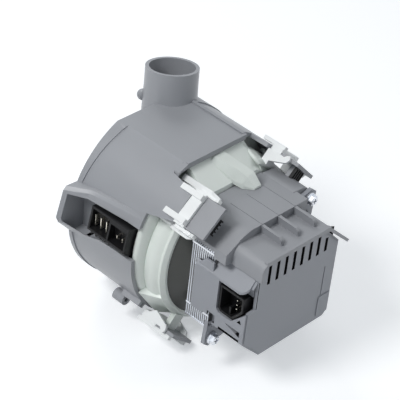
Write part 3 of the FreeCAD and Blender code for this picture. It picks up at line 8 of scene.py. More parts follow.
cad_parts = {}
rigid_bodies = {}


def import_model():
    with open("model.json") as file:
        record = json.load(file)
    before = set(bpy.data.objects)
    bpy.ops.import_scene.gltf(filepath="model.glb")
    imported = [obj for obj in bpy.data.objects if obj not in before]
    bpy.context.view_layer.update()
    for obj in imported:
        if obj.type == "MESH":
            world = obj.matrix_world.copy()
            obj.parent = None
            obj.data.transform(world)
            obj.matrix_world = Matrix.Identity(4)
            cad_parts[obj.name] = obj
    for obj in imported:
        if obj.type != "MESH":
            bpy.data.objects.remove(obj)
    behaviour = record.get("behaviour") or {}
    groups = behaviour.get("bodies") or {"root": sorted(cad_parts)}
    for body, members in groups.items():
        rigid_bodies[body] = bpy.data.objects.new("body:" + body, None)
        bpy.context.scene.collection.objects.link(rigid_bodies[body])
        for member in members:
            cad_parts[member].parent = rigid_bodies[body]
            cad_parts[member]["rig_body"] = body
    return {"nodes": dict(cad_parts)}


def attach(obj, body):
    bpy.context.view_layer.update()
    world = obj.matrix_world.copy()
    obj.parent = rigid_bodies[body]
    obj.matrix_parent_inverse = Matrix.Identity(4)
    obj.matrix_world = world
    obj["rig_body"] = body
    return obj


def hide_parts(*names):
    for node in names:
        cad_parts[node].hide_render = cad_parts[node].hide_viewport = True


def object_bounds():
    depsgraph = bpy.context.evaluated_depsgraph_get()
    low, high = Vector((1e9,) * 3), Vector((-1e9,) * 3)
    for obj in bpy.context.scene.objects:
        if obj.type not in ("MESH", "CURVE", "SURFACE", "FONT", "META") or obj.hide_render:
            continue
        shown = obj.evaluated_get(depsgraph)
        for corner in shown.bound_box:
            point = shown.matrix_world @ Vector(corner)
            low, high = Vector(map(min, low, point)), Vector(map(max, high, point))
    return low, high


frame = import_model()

# Dishwasher circulation pump: grey heater drum, white latch ring, laminated motor, electronics box
# and drip cover. The shaft lies along Y with the suction side at +Y. Sizes in the dictionaries are
# millimetres, unless they are turns in degrees, shares or counts.

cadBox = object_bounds()
scene = bpy.context.scene
mm = 0.001
rimY = -0.022  # the drum's rim, from which depths run towards the motor


# A place from X, depth behind the drum's rim and height
def at(x, depth, z):
    return Vector((x * mm, rimY - depth * mm, z * mm))


# A place on a circle about the shaft, or about a line that is lifted above it
def around(radius, turn, depth, lift=0.0):
    angle = math.radians(turn)
    return at(radius * math.cos(angle), depth, lift + radius * math.sin(angle))


# Joins a socket to another node's output, or gives it a value
def feed(tree, socket, value):
    if hasattr(value, "is_output"):
        tree.links.new(value, socket)
    else:
        socket.default_value = value


# Makes a node with its settings and inputs; an input's name has _ where Blender has a space
def wired(tree, kind, settings=(), **inputs):
    made = tree.nodes.new(kind)
    for key, value in dict(settings).items():
        setattr(made, key, value)
    for key, value in inputs.items():
        feed(tree, made.inputs[key.replace("_", " ")], value)
    return made


def mathNode(tree, operation, first, second):
    made = wired(tree, "ShaderNodeMath", {"operation": operation})
    feed(tree, made.inputs[0], first)
    feed(tree, made.inputs[1], second)
    return made.outputs[0]


# A colour mix, whose sockets go by number because their names come more than once
def mixColour(tree, factor, first, second, blend="MIX"):
    made = wired(tree, "ShaderNodeMix", {"data_type": "RGBA", "blend_type": blend})
    for place, value in ((0, factor), (6, first), (7, second)):
        feed(tree, made.inputs[place], value)
    return made.outputs[2]


# Shared effects: groups that put out colour, roughness and normal

def skinGroup(name, inputs):
    tree = bpy.data.node_groups.new(name, "ShaderNodeTree")
    for socketName, kind, value in inputs:
        socket = tree.interface.new_socket(socketName, in_out="INPUT", socket_type=kind)
        if value is not None:
            socket.default_value = value
    for socketName, kind in (("Colour", "NodeSocketColor"), ("Roughness", "NodeSocketFloat"),
                             ("Normal", "NodeSocketVector")):
        tree.interface.new_socket(socketName, in_out="OUTPUT", socket_type=kind)
    coords = tree.nodes.new("ShaderNodeTexCoord").outputs["Object"]
    groupIn, groupOut = tree.nodes.new("NodeGroupInput"), tree.nodes.new("NodeGroupOutput")
    return tree, coords, groupIn.outputs, groupOut.inputs


def noise(tree, vector, scale, detail):
    made = wired(tree, "ShaderNodeTexNoise", Vector=vector, Scale=scale, Detail=detail)
    return made.outputs["Fac"]


# Moulded plastic: a fine spark grain, slow flow marks and a thin film of dust on upward faces
mouldedLooks = {"flowScale": 38.0, "flowStretch": (1.0, 0.35, 1.0), "speckScale": 5200.0,
                "dustLeast": 0.2, "flowTint": 2.0, "flowRough": 0.25, "grainDeep": 0.1,
                "dustColour": (0.72, 0.71, 0.69, 1)}
look = mouldedLooks
mouldedSkin, coords, skinIn, skinOut = skinGroup("mouldedSkin", [
    ("Colour", "NodeSocketColor", (0.5, 0.5, 0.5, 1)), ("Grain Size", "NodeSocketFloat", 1400.0),
    ("Grain Height", "NodeSocketFloat", 0.05), ("Flow", "NodeSocketFloat", 0.06),
    ("Dust", "NodeSocketFloat", 0.1), ("Roughness", "NodeSocketFloat", 0.45)])
tree = mouldedSkin
grain = noise(tree, coords, skinIn["Grain Size"], detail=2.0)
stretched = wired(tree, "ShaderNodeMapping", Vector=coords, Scale=look["flowStretch"])
flow = noise(tree, stretched.outputs[0], look["flowScale"], detail=3.0)
specks = noise(tree, coords, look["speckScale"], detail=1.0)
facing = tree.nodes.new("ShaderNodeNewGeometry").outputs["Normal"]
upward = wired(tree, "ShaderNodeSeparateXYZ", Vector=facing).outputs["Z"]
dusty = mathNode(tree, "MULTIPLY", mathNode(tree, "MAXIMUM", upward, 0.0), skinIn["Dust"])
dusty = mathNode(tree, "MULTIPLY", dusty, mathNode(tree, "ADD", specks, look["dustLeast"]))
offCentre = mathNode(tree, "SUBTRACT", flow, 0.5)
shade = mathNode(tree, "MULTIPLY", offCentre, skinIn["Flow"])
shade = mathNode(tree, "ADD", mathNode(tree, "MULTIPLY", shade, look["flowTint"]), 1.0)
tinted = mixColour(tree, 1.0, skinIn["Colour"], shade, "MULTIPLY")
feed(tree, skinOut["Colour"], mixColour(tree, dusty, tinted, look["dustColour"]))
rough = mathNode(tree, "MULTIPLY", offCentre, look["flowRough"])
rough = mathNode(tree, "ADD", rough, skinIn["Roughness"])
feed(tree, skinOut["Roughness"], mathNode(tree, "ADD", rough, dusty))
bump = wired(tree, "ShaderNodeBump", Strength=skinIn["Grain Height"],
             Distance=look["grainDeep"] * mm, Height=grain)
feed(tree, skinOut["Normal"], bump.outputs[0])

# Worked metal: brushed lines along one axis, with a few darker blotches
metalLooks = {"blotchScale": 160.0, "lineRough": 0.18, "lineDeep": 0.1,
              "tarnishColour": (0.16, 0.14, 0.12, 1)}
look = metalLooks
metalSkin, coords, skinIn, skinOut = skinGroup("metalSkin", [
    ("Colour", "NodeSocketColor", (0.6, 0.6, 0.6, 1)), ("Stretch", "NodeSocketVector", None),
    ("Line Height", "NodeSocketFloat", 0.1), ("Tarnish", "NodeSocketFloat", 0.2),
    ("Roughness", "NodeSocketFloat", 0.3)])
tree = metalSkin
stretched = wired(tree, "ShaderNodeMapping", Vector=coords, Scale=skinIn["Stretch"])
lines = noise(tree, stretched.outputs[0], 1.0, detail=3.0)
blotches = noise(tree, coords, look["blotchScale"], detail=4.0)
tarnished = mathNode(tree, "MULTIPLY", blotches, skinIn["Tarnish"])
feed(tree, skinOut["Colour"], mixColour(tree, tarnished, skinIn["Colour"], look["tarnishColour"]))
rough = mathNode(tree, "MULTIPLY", lines, look["lineRough"])
feed(tree, skinOut["Roughness"], mathNode(tree, "ADD", skinIn["Roughness"], rough))
bump = wired(tree, "ShaderNodeBump", Strength=skinIn["Line Height"],
             Distance=look["lineDeep"] * mm, Height=lines)
feed(tree, skinOut["Normal"], bump.outputs[0])


# A material whose Principled shader takes colour, roughness and normal from a shared group
def finish(name, group, values, **shader):
    material = bpy.data.materials.new(name)
    material.use_nodes = True
    tree = material.node_tree
    principled = tree.nodes["Principled BSDF"]
    skin = tree.nodes.new("ShaderNodeGroup")
    skin.node_tree = group
    for key, value in values.items():
        skin.inputs[key].default_value = value
    for output, socket in (("Colour", "Base Color"), ("Roughness", "Roughness"),
                           ("Normal", "Normal")):
        tree.links.new(skin.outputs[output], principled.inputs[socket])
    for key, value in shader.items():
        principled.inputs[key.replace("_", " ")].default_value = value
    return material


def plastic(name, colour, shine=0.5, **values):
    values["Colour"] = (*colour, 1)
    return finish(name, mouldedSkin, values, Specular_IOR_Level=shine)


def metal(name, colour, stretch, **values):
    values.update({"Colour": (*colour, 1), "Stretch": stretch})
    return finish(name, metalSkin, values, Metallic=1.0)


finishes = {
    "pumpGrey": plastic("pumpGrey", (0.300, 0.310, 0.332), Roughness=0.34, Dust=0.05),
    "coverGrey": plastic("coverGrey", (0.285, 0.294, 0.315), Roughness=0.42, Dust=0.06),
    "boxGrey": plastic("boxGrey", (0.292, 0.305, 0.335), Roughness=0.44, Dust=0.03),
    "ringWhite": plastic("ringWhite", (0.735, 0.785, 0.745), Roughness=0.36, Dust=0.0, Flow=0.05),
    "latchWhite": plastic("latchWhite", (0.84, 0.86, 0.86), Roughness=0.34, Dust=0.0, Flow=0.03),
    "connectorBlack": plastic("connectorBlack", (0.010, 0.010, 0.011), 0.22, Roughness=0.40,
                              Dust=0.0),
    "sealRubber": plastic("sealRubber", (0.022, 0.022, 0.022), Roughness=0.60, Dust=0.04),
    "damperRubber": plastic("damperRubber", (0.050, 0.052, 0.048), Roughness=0.55, Dust=0.05),
    "wetPlastic": plastic("wetPlastic", (0.62, 0.61, 0.56), Roughness=0.28, Dust=0.0),
    "canPlastic": plastic("canPlastic", (0.58, 0.56, 0.50), Roughness=0.40, Dust=0.0),
    "bobbinBlack": plastic("bobbinBlack", (0.02, 0.02, 0.02), Roughness=0.45, Dust=0.0),
    "boardGreen": plastic("boardGreen", (0.02, 0.13, 0.05), Roughness=0.25, Dust=0.0),
    "moduleBlack": plastic("moduleBlack", (0.02, 0.02, 0.02), Roughness=0.22, Dust=0.0),
    "chokeWinding": plastic("chokeWinding", (0.30, 0.12, 0.03), Roughness=0.25, Dust=0.0),
    "ferrite": plastic("ferrite", (0.05, 0.05, 0.055), Roughness=0.50, Dust=0.0),
    "carbonBearing": plastic("carbonBearing", (0.07, 0.07, 0.08), Roughness=0.35, Dust=0.0),
    "heaterSteel": metal("heaterSteel", (0.62, 0.61, 0.59), (60, 2500, 60), Tarnish=0.25),
    "shaftSteel": metal("shaftSteel", (0.68, 0.68, 0.68), (2500, 60, 2500), Roughness=0.16,
                        Tarnish=0.05),
    "sheetSteel": metal("sheetSteel", (0.22, 0.22, 0.23), (300, 1600, 300), Roughness=0.45,
                        Tarnish=0.40),
    "sheetEdge": metal("sheetEdge", (0.72, 0.75, 0.80), (300, 1600, 300), Roughness=0.32,
                       Tarnish=0.12),
    "zinc": metal("zinc", (0.74, 0.76, 0.80), (900, 900, 900), Roughness=0.16, Tarnish=0.10),
    "contact": metal("contact", (0.80, 0.76, 0.66), (800, 200, 800), Roughness=0.20, Tarnish=0.05),
    "copper": metal("copper", (0.66, 0.27, 0.11), (200, 2600, 200), Roughness=0.24, Tarnish=0.10),
    "aluminium": metal("aluminium", (0.70, 0.71, 0.72), (1500, 300, 300), Roughness=0.25,
                       Tarnish=0.08),
}
print("finishes made:", len(finishes))


# Plain meshes

def finishedMesh(work, name):
    bmesh.ops.recalc_face_normals(work, faces=work.faces)
    mesh = bpy.data.meshes.new(name)
    work.to_mesh(mesh)
    work.free()
    return mesh


# Two matching outlines joined by a band of faces; an open one keeps its first outline free
def slabMesh(name, first, last, isOpen=False):
    work = bmesh.new()
    first, last = [[work.verts.new(place) for place in outline] for outline in (first, last)]
    if not isOpen:
        work.faces.new(first)
    work.faces.new(last[::-1])
    for i, corner in enumerate(first):
        following = (i + 1) % len(first)
        work.faces.new((corner, last[i], last[following], first[following]))
    return finishedMesh(work, name)


# Rows of places joined into a skin
def skinMesh(name, rows):
    work = bmesh.new()
    grid = [[work.verts.new(place) for place in row] for row in rows]
    for left, right in zip(grid, grid[1:]):
        for i in range(len(left) - 1):
            work.faces.new((left[i], left[i + 1], right[i + 1], right[i]))
    return finishedMesh(work, name)


def bevelled(piece, width, segments=2):
    bevel = piece.modifiers.new("edges", "BEVEL")
    bevel.width = width * mm
    bevel.segments = segments
    bevel.harden_normals = True
    return bevel


def thickened(piece, thickness, offset=-1):
    wall = piece.modifiers.new("skin", "SOLIDIFY")
    wall.thickness = thickness * mm
    wall.offset = offset


def smoothed(mesh, angle):
    for polygon in mesh.polygons:
        polygon.use_smooth = True
    mesh.set_sharp_from_angle(angle=math.radians(angle))


# CAD pieces with softened edges: a merged copy stands for each visible node

# Cuts prisms, each an outline in depth and height between two places in X, out of a mesh
def carved(mesh, prisms):
    body = bpy.data.objects.new("carved_body", mesh)
    scene.collection.objects.link(body)
    cutters = []
    for prism in prisms:  # one cutter for each, so that none of them meet
        ends = [[at(x, depth, z) for depth, z in prism["outline"]] for x in prism["x"]]
        cutter = bpy.data.objects.new("cutter", slabMesh("cutter", *ends))
        cutter.data.materials.append(finishes[prism["finish"]])
        scene.collection.objects.link(cutter)
        cut = body.modifiers.new("cut", "BOOLEAN")
        cut.operation = "DIFFERENCE"
        cut.solver = "EXACT"
        cut.material_mode = "TRANSFER"
        cut.object = cutter
        cutters.append(cutter)
    graph = bpy.context.evaluated_depsgraph_get()
    made = bpy.data.meshes.new_from_object(body.evaluated_get(graph))
    for item in [body] + cutters:
        bpy.data.objects.remove(item)
    return made


def inBand(band, place):
    values = {"x": place.x / mm, "depth": (rimY - place.y) / mm, "z": place.z / mm}
    return all(band[key][0] <= value <= band[key][1] for key, value in values.items())


# A long edge along X or along the shaft (axis 0 or 1) gets a round of its own
roundLimits = {"shortest": 6.0, "straight": 0.97, "crease": 8, "segments": 5}


def rounded(work, bands):
    for band in bands:
        chosen = []
        for edge in work.edges:
            first, last = (vert.co for vert in edge.verts)
            along = abs(first[band["axis"]] - last[band["axis"]])
            isLong = along >= roundLimits["shortest"] * mm
            isStraight = along >= roundLimits["straight"] * edge.calc_length()
            if not (isLong and isStraight and inBand(band, first) and inBand(band, last)):
                continue
            if edge.is_manifold and edge.calc_face_angle(0.0) > math.radians(roundLimits["crease"]):
                chosen.append(edge)
        bmesh.ops.bevel(work, geom=chosen, offset=band["radius"] * mm, profile=0.5,
                        segments=roundLimits["segments"], affect="EDGES", clamp_overlap=True)


# Doubles closer than merge go, faces flatter than flat join, and edges past sharp get a bevel
softLimits = {"merge": 0.002, "flat": 0.4, "sharp": 28}


def softened(nodeName, material, width, cuts, rounds):
    source = frame["nodes"][nodeName]
    mesh = source.data.copy()
    mesh.materials.clear()
    mesh.materials.append(finishes[material])
    work = bmesh.new()
    work.from_mesh(mesh)
    bmesh.ops.remove_doubles(work, verts=work.verts, dist=softLimits["merge"] * mm)
    bmesh.ops.dissolve_limit(work, angle_limit=math.radians(softLimits["flat"]), verts=work.verts,
                             edges=work.edges)
    for face in work.faces:
        face.material_index = 0
    rounded(work, rounds)
    work.to_mesh(mesh)
    work.free()
    if cuts:
        mesh = carved(mesh, cuts)
    smoothed(mesh, softLimits["sharp"])
    piece = bpy.data.objects.new(nodeName + "_shape", mesh)
    scene.collection.objects.link(piece)
    bevel = bevelled(piece, width)
    bevel.limit_method = "ANGLE"
    bevel.angle_limit = math.radians(softLimits["sharp"])
    bevel.use_clamp_overlap = True
    evened = piece.modifiers.new("evened", "WEIGHTED_NORMAL")
    evened.mode = "FACE_AREA_WITH_ANGLE"
    evened.keep_sharp = True
    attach(piece, source["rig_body"])
    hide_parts(nodeName)


# The cover's ribs end in a quarter round, cut from the corner of a block
ribEndSizes = {"corner": (142.6, 49.5), "centre": (136.4, 42.6), "radius": 5.2, "step": -15}
size = ribEndSizes
ribEnd = [size["corner"]]
for turn in range(90, -1, size["step"]):
    ribEnd.append((size["centre"][0] + size["radius"] * math.sin(math.radians(turn)),
                   size["centre"][1] + size["radius"] * math.cos(math.radians(turn))))
ribEnd.append((size["centre"][0], size["corner"][1]))

carvings = {
    "electronics_housing": [
        {"x": (-47.5, -42.6), "finish": "connectorBlack",
         "outline": ((112.2, -15.2), (119.4, -15.6), (119.4, -22.4), (112.2, -21.8))},
        {"x": (-47.5, -42.0), "finish": "connectorBlack",
         "outline": ((123.4, -22.0), (142.2, -22.0), (142.2, -25.6), (123.4, -24.6))},
        {"x": (-47.5, -42.0), "finish": "connectorBlack",
         "outline": ((129.0, -15.3), (142.2, -15.3), (142.2, -19.5), (133.5, -16.6))},
        {"x": (-47.5, -43.6), "finish": "connectorBlack",
         "outline": ((138.6, -8.3), (141.2, -5.2), (142.4, -8.3))}],
    "rear_plate": [
        {"x": (-37.3, -36.6), "finish": "connectorBlack",
         "outline": ((145.2, 2.5), (147.5, 2.5), (147.5, 25.0), (145.2, 25.0))}],
    "drip_cover": [{"x": (-16.0, 22.0), "finish": "coverGrey", "outline": ribEnd}],
}
rounds = {
    "drip_cover": (
        {"axis": 1, "x": (-30, -26), "depth": (80, 125), "z": (47, 49), "radius": 5.0},
        {"axis": 1, "x": (-36, -34), "depth": (120, 151), "z": (41, 43), "radius": 3.0},
        {"axis": 1, "x": (-40.2, -39), "depth": (120, 151), "z": (37.5, 38.5), "radius": 3.0}),
    "pump_housing": (
        {"axis": 1, "x": (-30, -27), "depth": (0, 64), "z": (69, 71), "radius": 6.0},
        {"axis": 1, "x": (27, 30), "depth": (0, 64), "z": (69.5, 70.5), "radius": 2.0},
        {"axis": 0, "x": (-30, 27), "depth": (60, 66), "z": (69, 72), "radius": 1.3},
        {"axis": 1, "x": (-62.5, -60.5), "depth": (0, 64), "z": (39, 40.5), "radius": 2.0}),
}

# Each softened node's finish, bevel and slot
softenedNodes = {
    "pump_housing": ("pumpGrey", 0.5, "grey_plastic"),
    "drip_cover": ("coverGrey", 0.4, "grey_plastic"),
    "electronics_housing": ("boxGrey", 0.35, "grey_plastic"),
    "rear_plate": ("boxGrey", 0.25, "grey_plastic"),
    "rear_flange": ("ringWhite", 0.5, "ring_white_plastic"),
    "upper_left_latch": ("latchWhite", 0.4, "latch_white_plastic"),
    "upper_right_latch": ("latchWhite", 0.4, "latch_white_plastic"),
    "lower_left_latch": ("latchWhite", 0.4, "latch_white_plastic"),
    "lower_right_latch": ("latchWhite", 0.4, "latch_white_plastic"),
    "damper_ring": ("damperRubber", 0.5, "damper_rubber"),
    "terminal_block": ("connectorBlack", 0.25, "black_plastic"),
    "motor_connector": ("connectorBlack", 0.25, "black_plastic"),
    "stack_cleats": ("zinc", 0.12, "zinc_steel"),
    "terminal_blades": ("contact", 0.15, "contact_brass"),
    "sensor_pins": ("contact", 0.12, "contact_brass"),
    "connector_pins": ("contact", 0.12, "contact_brass"),
}
for nodeName, (material, width, slot) in softenedNodes.items():
    softened(nodeName, material, width, carvings.get(nodeName, ()), rounds.get(nodeName, ()))

plainNodes = {
    "suction_seal": "sealRubber", "intake_tube": "wetPlastic", "heater_tube": "heaterSteel",
    "heater_front_seal": "sealRubber", "heater_rear_seal": "sealRubber", "impeller": "wetPlastic",
    "guide_wheel": "wetPlastic", "shaft": "shaftSteel", "rotor_core": "sheetSteel",
    "rotor_magnet": "ferrite", "rotor_sleeve": "wetPlastic", "thrust_ring": "carbonBearing",
    "separating_can": "canPlastic", "can_seal": "sealRubber", "front_bearing": "carbonBearing",
    "bearing_carrier": "canPlastic", "rear_bearing": "carbonBearing", "stator_core": "sheetSteel",
    "stator_coils": "copper", "coil_bobbins": "bobbinBlack", "circuit_board": "boardGreen",
    "power_module": "moduleBlack", "bus_capacitor": "aluminium", "filter_choke": "chokeWinding",
    "heat_sink": "aluminium",
}
for nodeName, material in plainNodes.items():
    mesh = frame["nodes"][nodeName].data
    if not mesh.materials:
        mesh.materials.append(None)
    for place in frame["nodes"][nodeName].material_slots:
        place.material = finishes[material]
print("CAD pieces dressed:", len(softenedNodes), "softened,", len(plainNodes), "kept")


# Pieces that the scene adds; those that repeat are grown by Geometry Nodes and made plain at once

def addPiece(name, mesh, material=None, angle=30, body="pump"):
    if material:
        mesh.materials.clear()
        mesh.materials.append(finishes[material])
    smoothed(mesh, angle)
    piece = bpy.data.objects.new(name, mesh)
    scene.collection.objects.link(piece)
    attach(piece, body)
    return piece


def shapeTree(name, inputs):
    tree = bpy.data.node_groups.new(name, "GeometryNodeTree")
    tree.interface.new_socket("Geometry", in_out="INPUT", socket_type="NodeSocketGeometry")
    for socketName, kind, value in inputs:
        socket = tree.interface.new_socket(socketName, in_out="INPUT", socket_type=kind)
        socket.default_value = value
    tree.interface.new_socket("Finish", in_out="INPUT", socket_type="NodeSocketMaterial")
    tree.interface.new_socket("Geometry", in_out="OUTPUT", socket_type="NodeSocketGeometry")
    return tree, tree.nodes.new("NodeGroupInput").outputs, tree.nodes.new("NodeGroupOutput").inputs


def closeTree(tree, sizesIn, treeOut, geometry):
    real = wired(tree, "GeometryNodeRealizeInstances", Geometry=geometry)
    painted = wired(tree, "GeometryNodeSetMaterial", Geometry=real.outputs[0],
                    Material=sizesIn["Finish"])
    tree.links.new(painted.outputs[0], treeOut["Geometry"])


def grown(name, tree, places, edges, sizes, material):
    seed = bpy.data.meshes.new(name)
    seed.from_pydata(places, edges, [])
    holder = bpy.data.objects.new(name + "_seed", seed)
    scene.collection.objects.link(holder)
    modifier = holder.modifiers.new("shape", "NODES")
    modifier.node_group = tree
    for socket in tree.interface.items_tree:
        if socket.in_out == "INPUT" and socket.name in sizes:
            modifier[socket.identifier] = sizes[socket.name]
        if socket.name == "Finish":
            modifier[socket.identifier] = finishes[material]
    graph = bpy.context.evaluated_depsgraph_get()
    mesh = bpy.data.meshes.new_from_object(holder.evaluated_get(graph), depsgraph=graph)
    bpy.data.objects.remove(holder)
    return addPiece(name, mesh)


# Sheet edges of the stator stack: thin rims that stand a little proud of the solid stack
stackSizes = {"front": 91.0, "length": 21.5, "halfWidth": 43.5, "halfHeight": 40.0,
              "corner": 9.0, "sheets": 12, "rim": 1.05, "deep": 0.8, "proud": 0.25,
              "unevenness": 0.0012, "seed": 7}
tree, sizesIn, treeOut = shapeTree("sheetRims", [
    ("Sheets", "NodeSocketInt", 12), ("Step", "NodeSocketVector", (0, -0.0018, 0)),
    ("Rim", "NodeSocketFloat", 0.001), ("Deep", "NodeSocketFloat", 0.0008),
    ("Unevenness", "NodeSocketFloat", 0.001), ("Seed", "NodeSocketInt", 7)])
section = wired(tree, "GeometryNodeCurvePrimitiveQuadrilateral", Width=sizesIn["Deep"],
                Height=sizesIn["Rim"])
path = wired(tree, "GeometryNodeMeshToCurve", Mesh=sizesIn["Geometry"])
rim = wired(tree, "GeometryNodeCurveToMesh", Curve=path.outputs[0],
            Profile_Curve=section.outputs[0])
row = wired(tree, "GeometryNodeMeshLine", Count=sizesIn["Sheets"], Offset=sizesIn["Step"])
spread = wired(tree, "FunctionNodeRandomValue", {"data_type": "FLOAT"}, Seed=sizesIn["Seed"])
# the random number's least and most
feed(tree, spread.inputs[2], mathNode(tree, "SUBTRACT", 1.0, sizesIn["Unevenness"]))
feed(tree, spread.inputs[3], 1.0)
wide = wired(tree, "ShaderNodeCombineXYZ", X=spread.outputs[1], Y=1.0, Z=spread.outputs[1])
placed = wired(tree, "GeometryNodeInstanceOnPoints", Points=row.outputs[0], Instance=rim.outputs[0],
               Scale=wide.outputs[0])
closeTree(tree, sizesIn, treeOut, placed.outputs[0])

size = stackSizes
pitch = size["length"] / size["sheets"]
inset = size["proud"] - size["deep"] / 2
halfWidth, halfHeight = size["halfWidth"] + inset, size["halfHeight"] + inset
cornerX, cornerZ = halfWidth - size["corner"], halfHeight - size["corner"]
rimPlaces = [Vector((x * mm, 0, z * mm)) for x, z in (
    (-cornerX, -halfHeight), (cornerX, -halfHeight), (halfWidth, -cornerZ), (halfWidth, cornerZ),
    (cornerX, halfHeight), (-cornerX, halfHeight), (-halfWidth, cornerZ), (-halfWidth, -cornerZ))]
rimEdges = [(i, (i + 1) % len(rimPlaces)) for i in range(len(rimPlaces))]
rims = grown("stator_sheet_rims", tree, rimPlaces, rimEdges, {
    "Sheets": size["sheets"], "Step": (0, -pitch * mm, 0), "Rim": size["rim"] * mm,
    "Deep": size["deep"] * mm, "Unevenness": size["unevenness"], "Seed": size["seed"]},
    "sheetEdge")
rims.data.transform(Matrix.Translation((0, at(0, size["front"] + pitch / 2, 0).y, 0)))

# Flanged screws with a cross recess; crown, foot and bar are shares of the head's radius
screwSizes = {"places": ((42.5, 39.0), (-42.5, -39.0)), "seat": 116.5, "stem": 2.2,
              "stemLength": 3.9, "flange": 4.5, "flangeThick": 1.0, "chamfer": 0.4, "head": 3.9,
              "headHeight": 2.7, "crown": 0.12, "crownFoot": 0.86, "crownTop": 0.7, "recess": 0.9,
              "recessDepth": 1.4, "bar": 1.05, "overlap": 0.02, "lean": 12,
              "sides": {"stem": 24, "flange": 40, "head": 6, "crown": 32}}
size = screwSizes
sides = size["sides"]
tree, sizesIn, treeOut = shapeTree("flangedScrew", [
    ("Stem", "NodeSocketFloat", 0.0022), ("Stem Length", "NodeSocketFloat", 0.004),
    ("Flange", "NodeSocketFloat", 0.0045), ("Flange Thick", "NodeSocketFloat", 0.001),
    ("Head", "NodeSocketFloat", 0.0039), ("Head Height", "NodeSocketFloat", 0.0027),
    ("Recess", "NodeSocketFloat", 0.0009), ("Recess Depth", "NodeSocketFloat", 0.0014)])


def scaled(name, share):
    return mathNode(tree, "MULTIPLY", sizesIn[name], share)


def raised(geometry, height):
    lifted = wired(tree, "ShaderNodeCombineXYZ", Z=height)
    return wired(tree, "GeometryNodeTransform", Geometry=geometry.outputs[0],
                 Translation=lifted.outputs[0]).outputs[0]


stem = wired(tree, "GeometryNodeMeshCylinder", Vertices=sides["stem"], Radius=sizesIn["Stem"],
             Depth=sizesIn["Stem Length"])
stem = raised(stem, scaled("Stem Length", -0.5))
flange = wired(tree, "GeometryNodeMeshCone", Vertices=sides["flange"],
               Radius_Top=mathNode(tree, "SUBTRACT", sizesIn["Flange"], size["chamfer"] * mm),
               Radius_Bottom=sizesIn["Flange"], Depth=sizesIn["Flange Thick"]).outputs[0]
hexagon = wired(tree, "GeometryNodeMeshCylinder", Vertices=sides["head"], Radius=sizesIn["Head"],
                Depth=sizesIn["Head Height"])
halfHead = scaled("Head Height", 0.5)
hexagon = raised(hexagon, mathNode(tree, "ADD", halfHead, sizesIn["Flange Thick"]))
top = mathNode(tree, "ADD", sizesIn["Flange Thick"], sizesIn["Head Height"])
crownHeight = scaled("Head", size["crown"])
crown = wired(tree, "GeometryNodeMeshCone", Vertices=sides["crown"],
              Radius_Bottom=scaled("Head", size["crownFoot"]),
              Radius_Top=scaled("Head", size["crownTop"]), Depth=crownHeight)
crown = raised(crown, mathNode(tree, "SUBTRACT", top, size["overlap"] * mm))
long = scaled("Head", size["bar"])
solid = wired(tree, "GeometryNodeMeshBoolean", {"operation": "UNION"})
for part in (hexagon, crown, flange, stem):
    tree.links.new(part, solid.inputs["Mesh 2"])
recessed = wired(tree, "GeometryNodeMeshBoolean", {"operation": "DIFFERENCE"})
tree.links.new(solid.outputs[0], recessed.inputs["Mesh 1"])
for first, second in ((long, sizesIn["Recess"]), (sizesIn["Recess"], long)):
    barSize = wired(tree, "ShaderNodeCombineXYZ", X=first, Y=second, Z=scaled("Recess Depth", 2.0))
    bar = wired(tree, "GeometryNodeMeshCube", Size=barSize.outputs[0])
    tree.links.new(raised(bar, mathNode(tree, "ADD", top, crownHeight)), recessed.inputs["Mesh 2"])
facingRear = (math.radians(90), math.radians(size["lean"]), 0)
placed = wired(tree, "GeometryNodeInstanceOnPoints", Points=sizesIn["Geometry"],
               Instance=recessed.outputs[0], Rotation=facingRear)
closeTree(tree, sizesIn, treeOut, placed.outputs[0])
seats = [at(x, size["seat"], z) for x, z in size["places"]]
screws = grown("stator_flanged_screws", tree, seats, [], {
    "Stem": size["stem"] * mm, "Stem Length": size["stemLength"] * mm,
    "Flange": size["flange"] * mm, "Flange Thick": size["flangeThick"] * mm,
    "Head": size["head"] * mm, "Head Height": size["headHeight"] * mm,
    "Recess": size["recess"] * mm, "Recess Depth": size["recessDepth"] * mm}, "zinc")
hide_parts("stator_screws")
print("sheet rims and screws grown:", len(rims.data.polygons), len(screws.data.polygons))

# Shoulder of the white ring beside the platform; it draws in by fall towards its last turn
shoulderSizes = {"turns": (66, 40), "steps": 14, "depths": (64.5, 70, 76, 82),
                 "radii": (66.5, 66.0, 64.2, 62.0), "fall": 0.045, "skin": 2.2}
size = shoulderSizes
rows = []
for step in range(size["steps"] + 1):
    share = step / size["steps"]
    turn = size["turns"][0] + share * (size["turns"][1] - size["turns"][0])
    drawnIn = 1.0 - size["fall"] * share ** 2
    rows.append([around(radius * drawnIn, turn, depth)
                 for depth, radius in zip(size["depths"], size["radii"])])
shoulder = addPiece("ring_shoulder", skinMesh("ring_shoulder", rows), "ringWhite")
thickened(shoulder, size["skin"])

# The cover's fuller right flank
flankSizes = {"outline": ((27.0, 47.2), (29.0, 48.0), (39.5, 47.2), (43.5, 45.0), (46.0, 41.0),
                          (46.0, 37.0)), "front": 83.0, "back": 112.0, "bevel": 0.6}
size = flankSizes
ends = [[at(x, depth, z) for x, z in size["outline"]] for depth in (size["front"], size["back"])]
flank = addPiece("cover_flank", slabMesh("cover_flank", *ends), "coverGrey", 35)
bevelled(flank, size["bevel"])
print("ring shoulder and cover flank added")

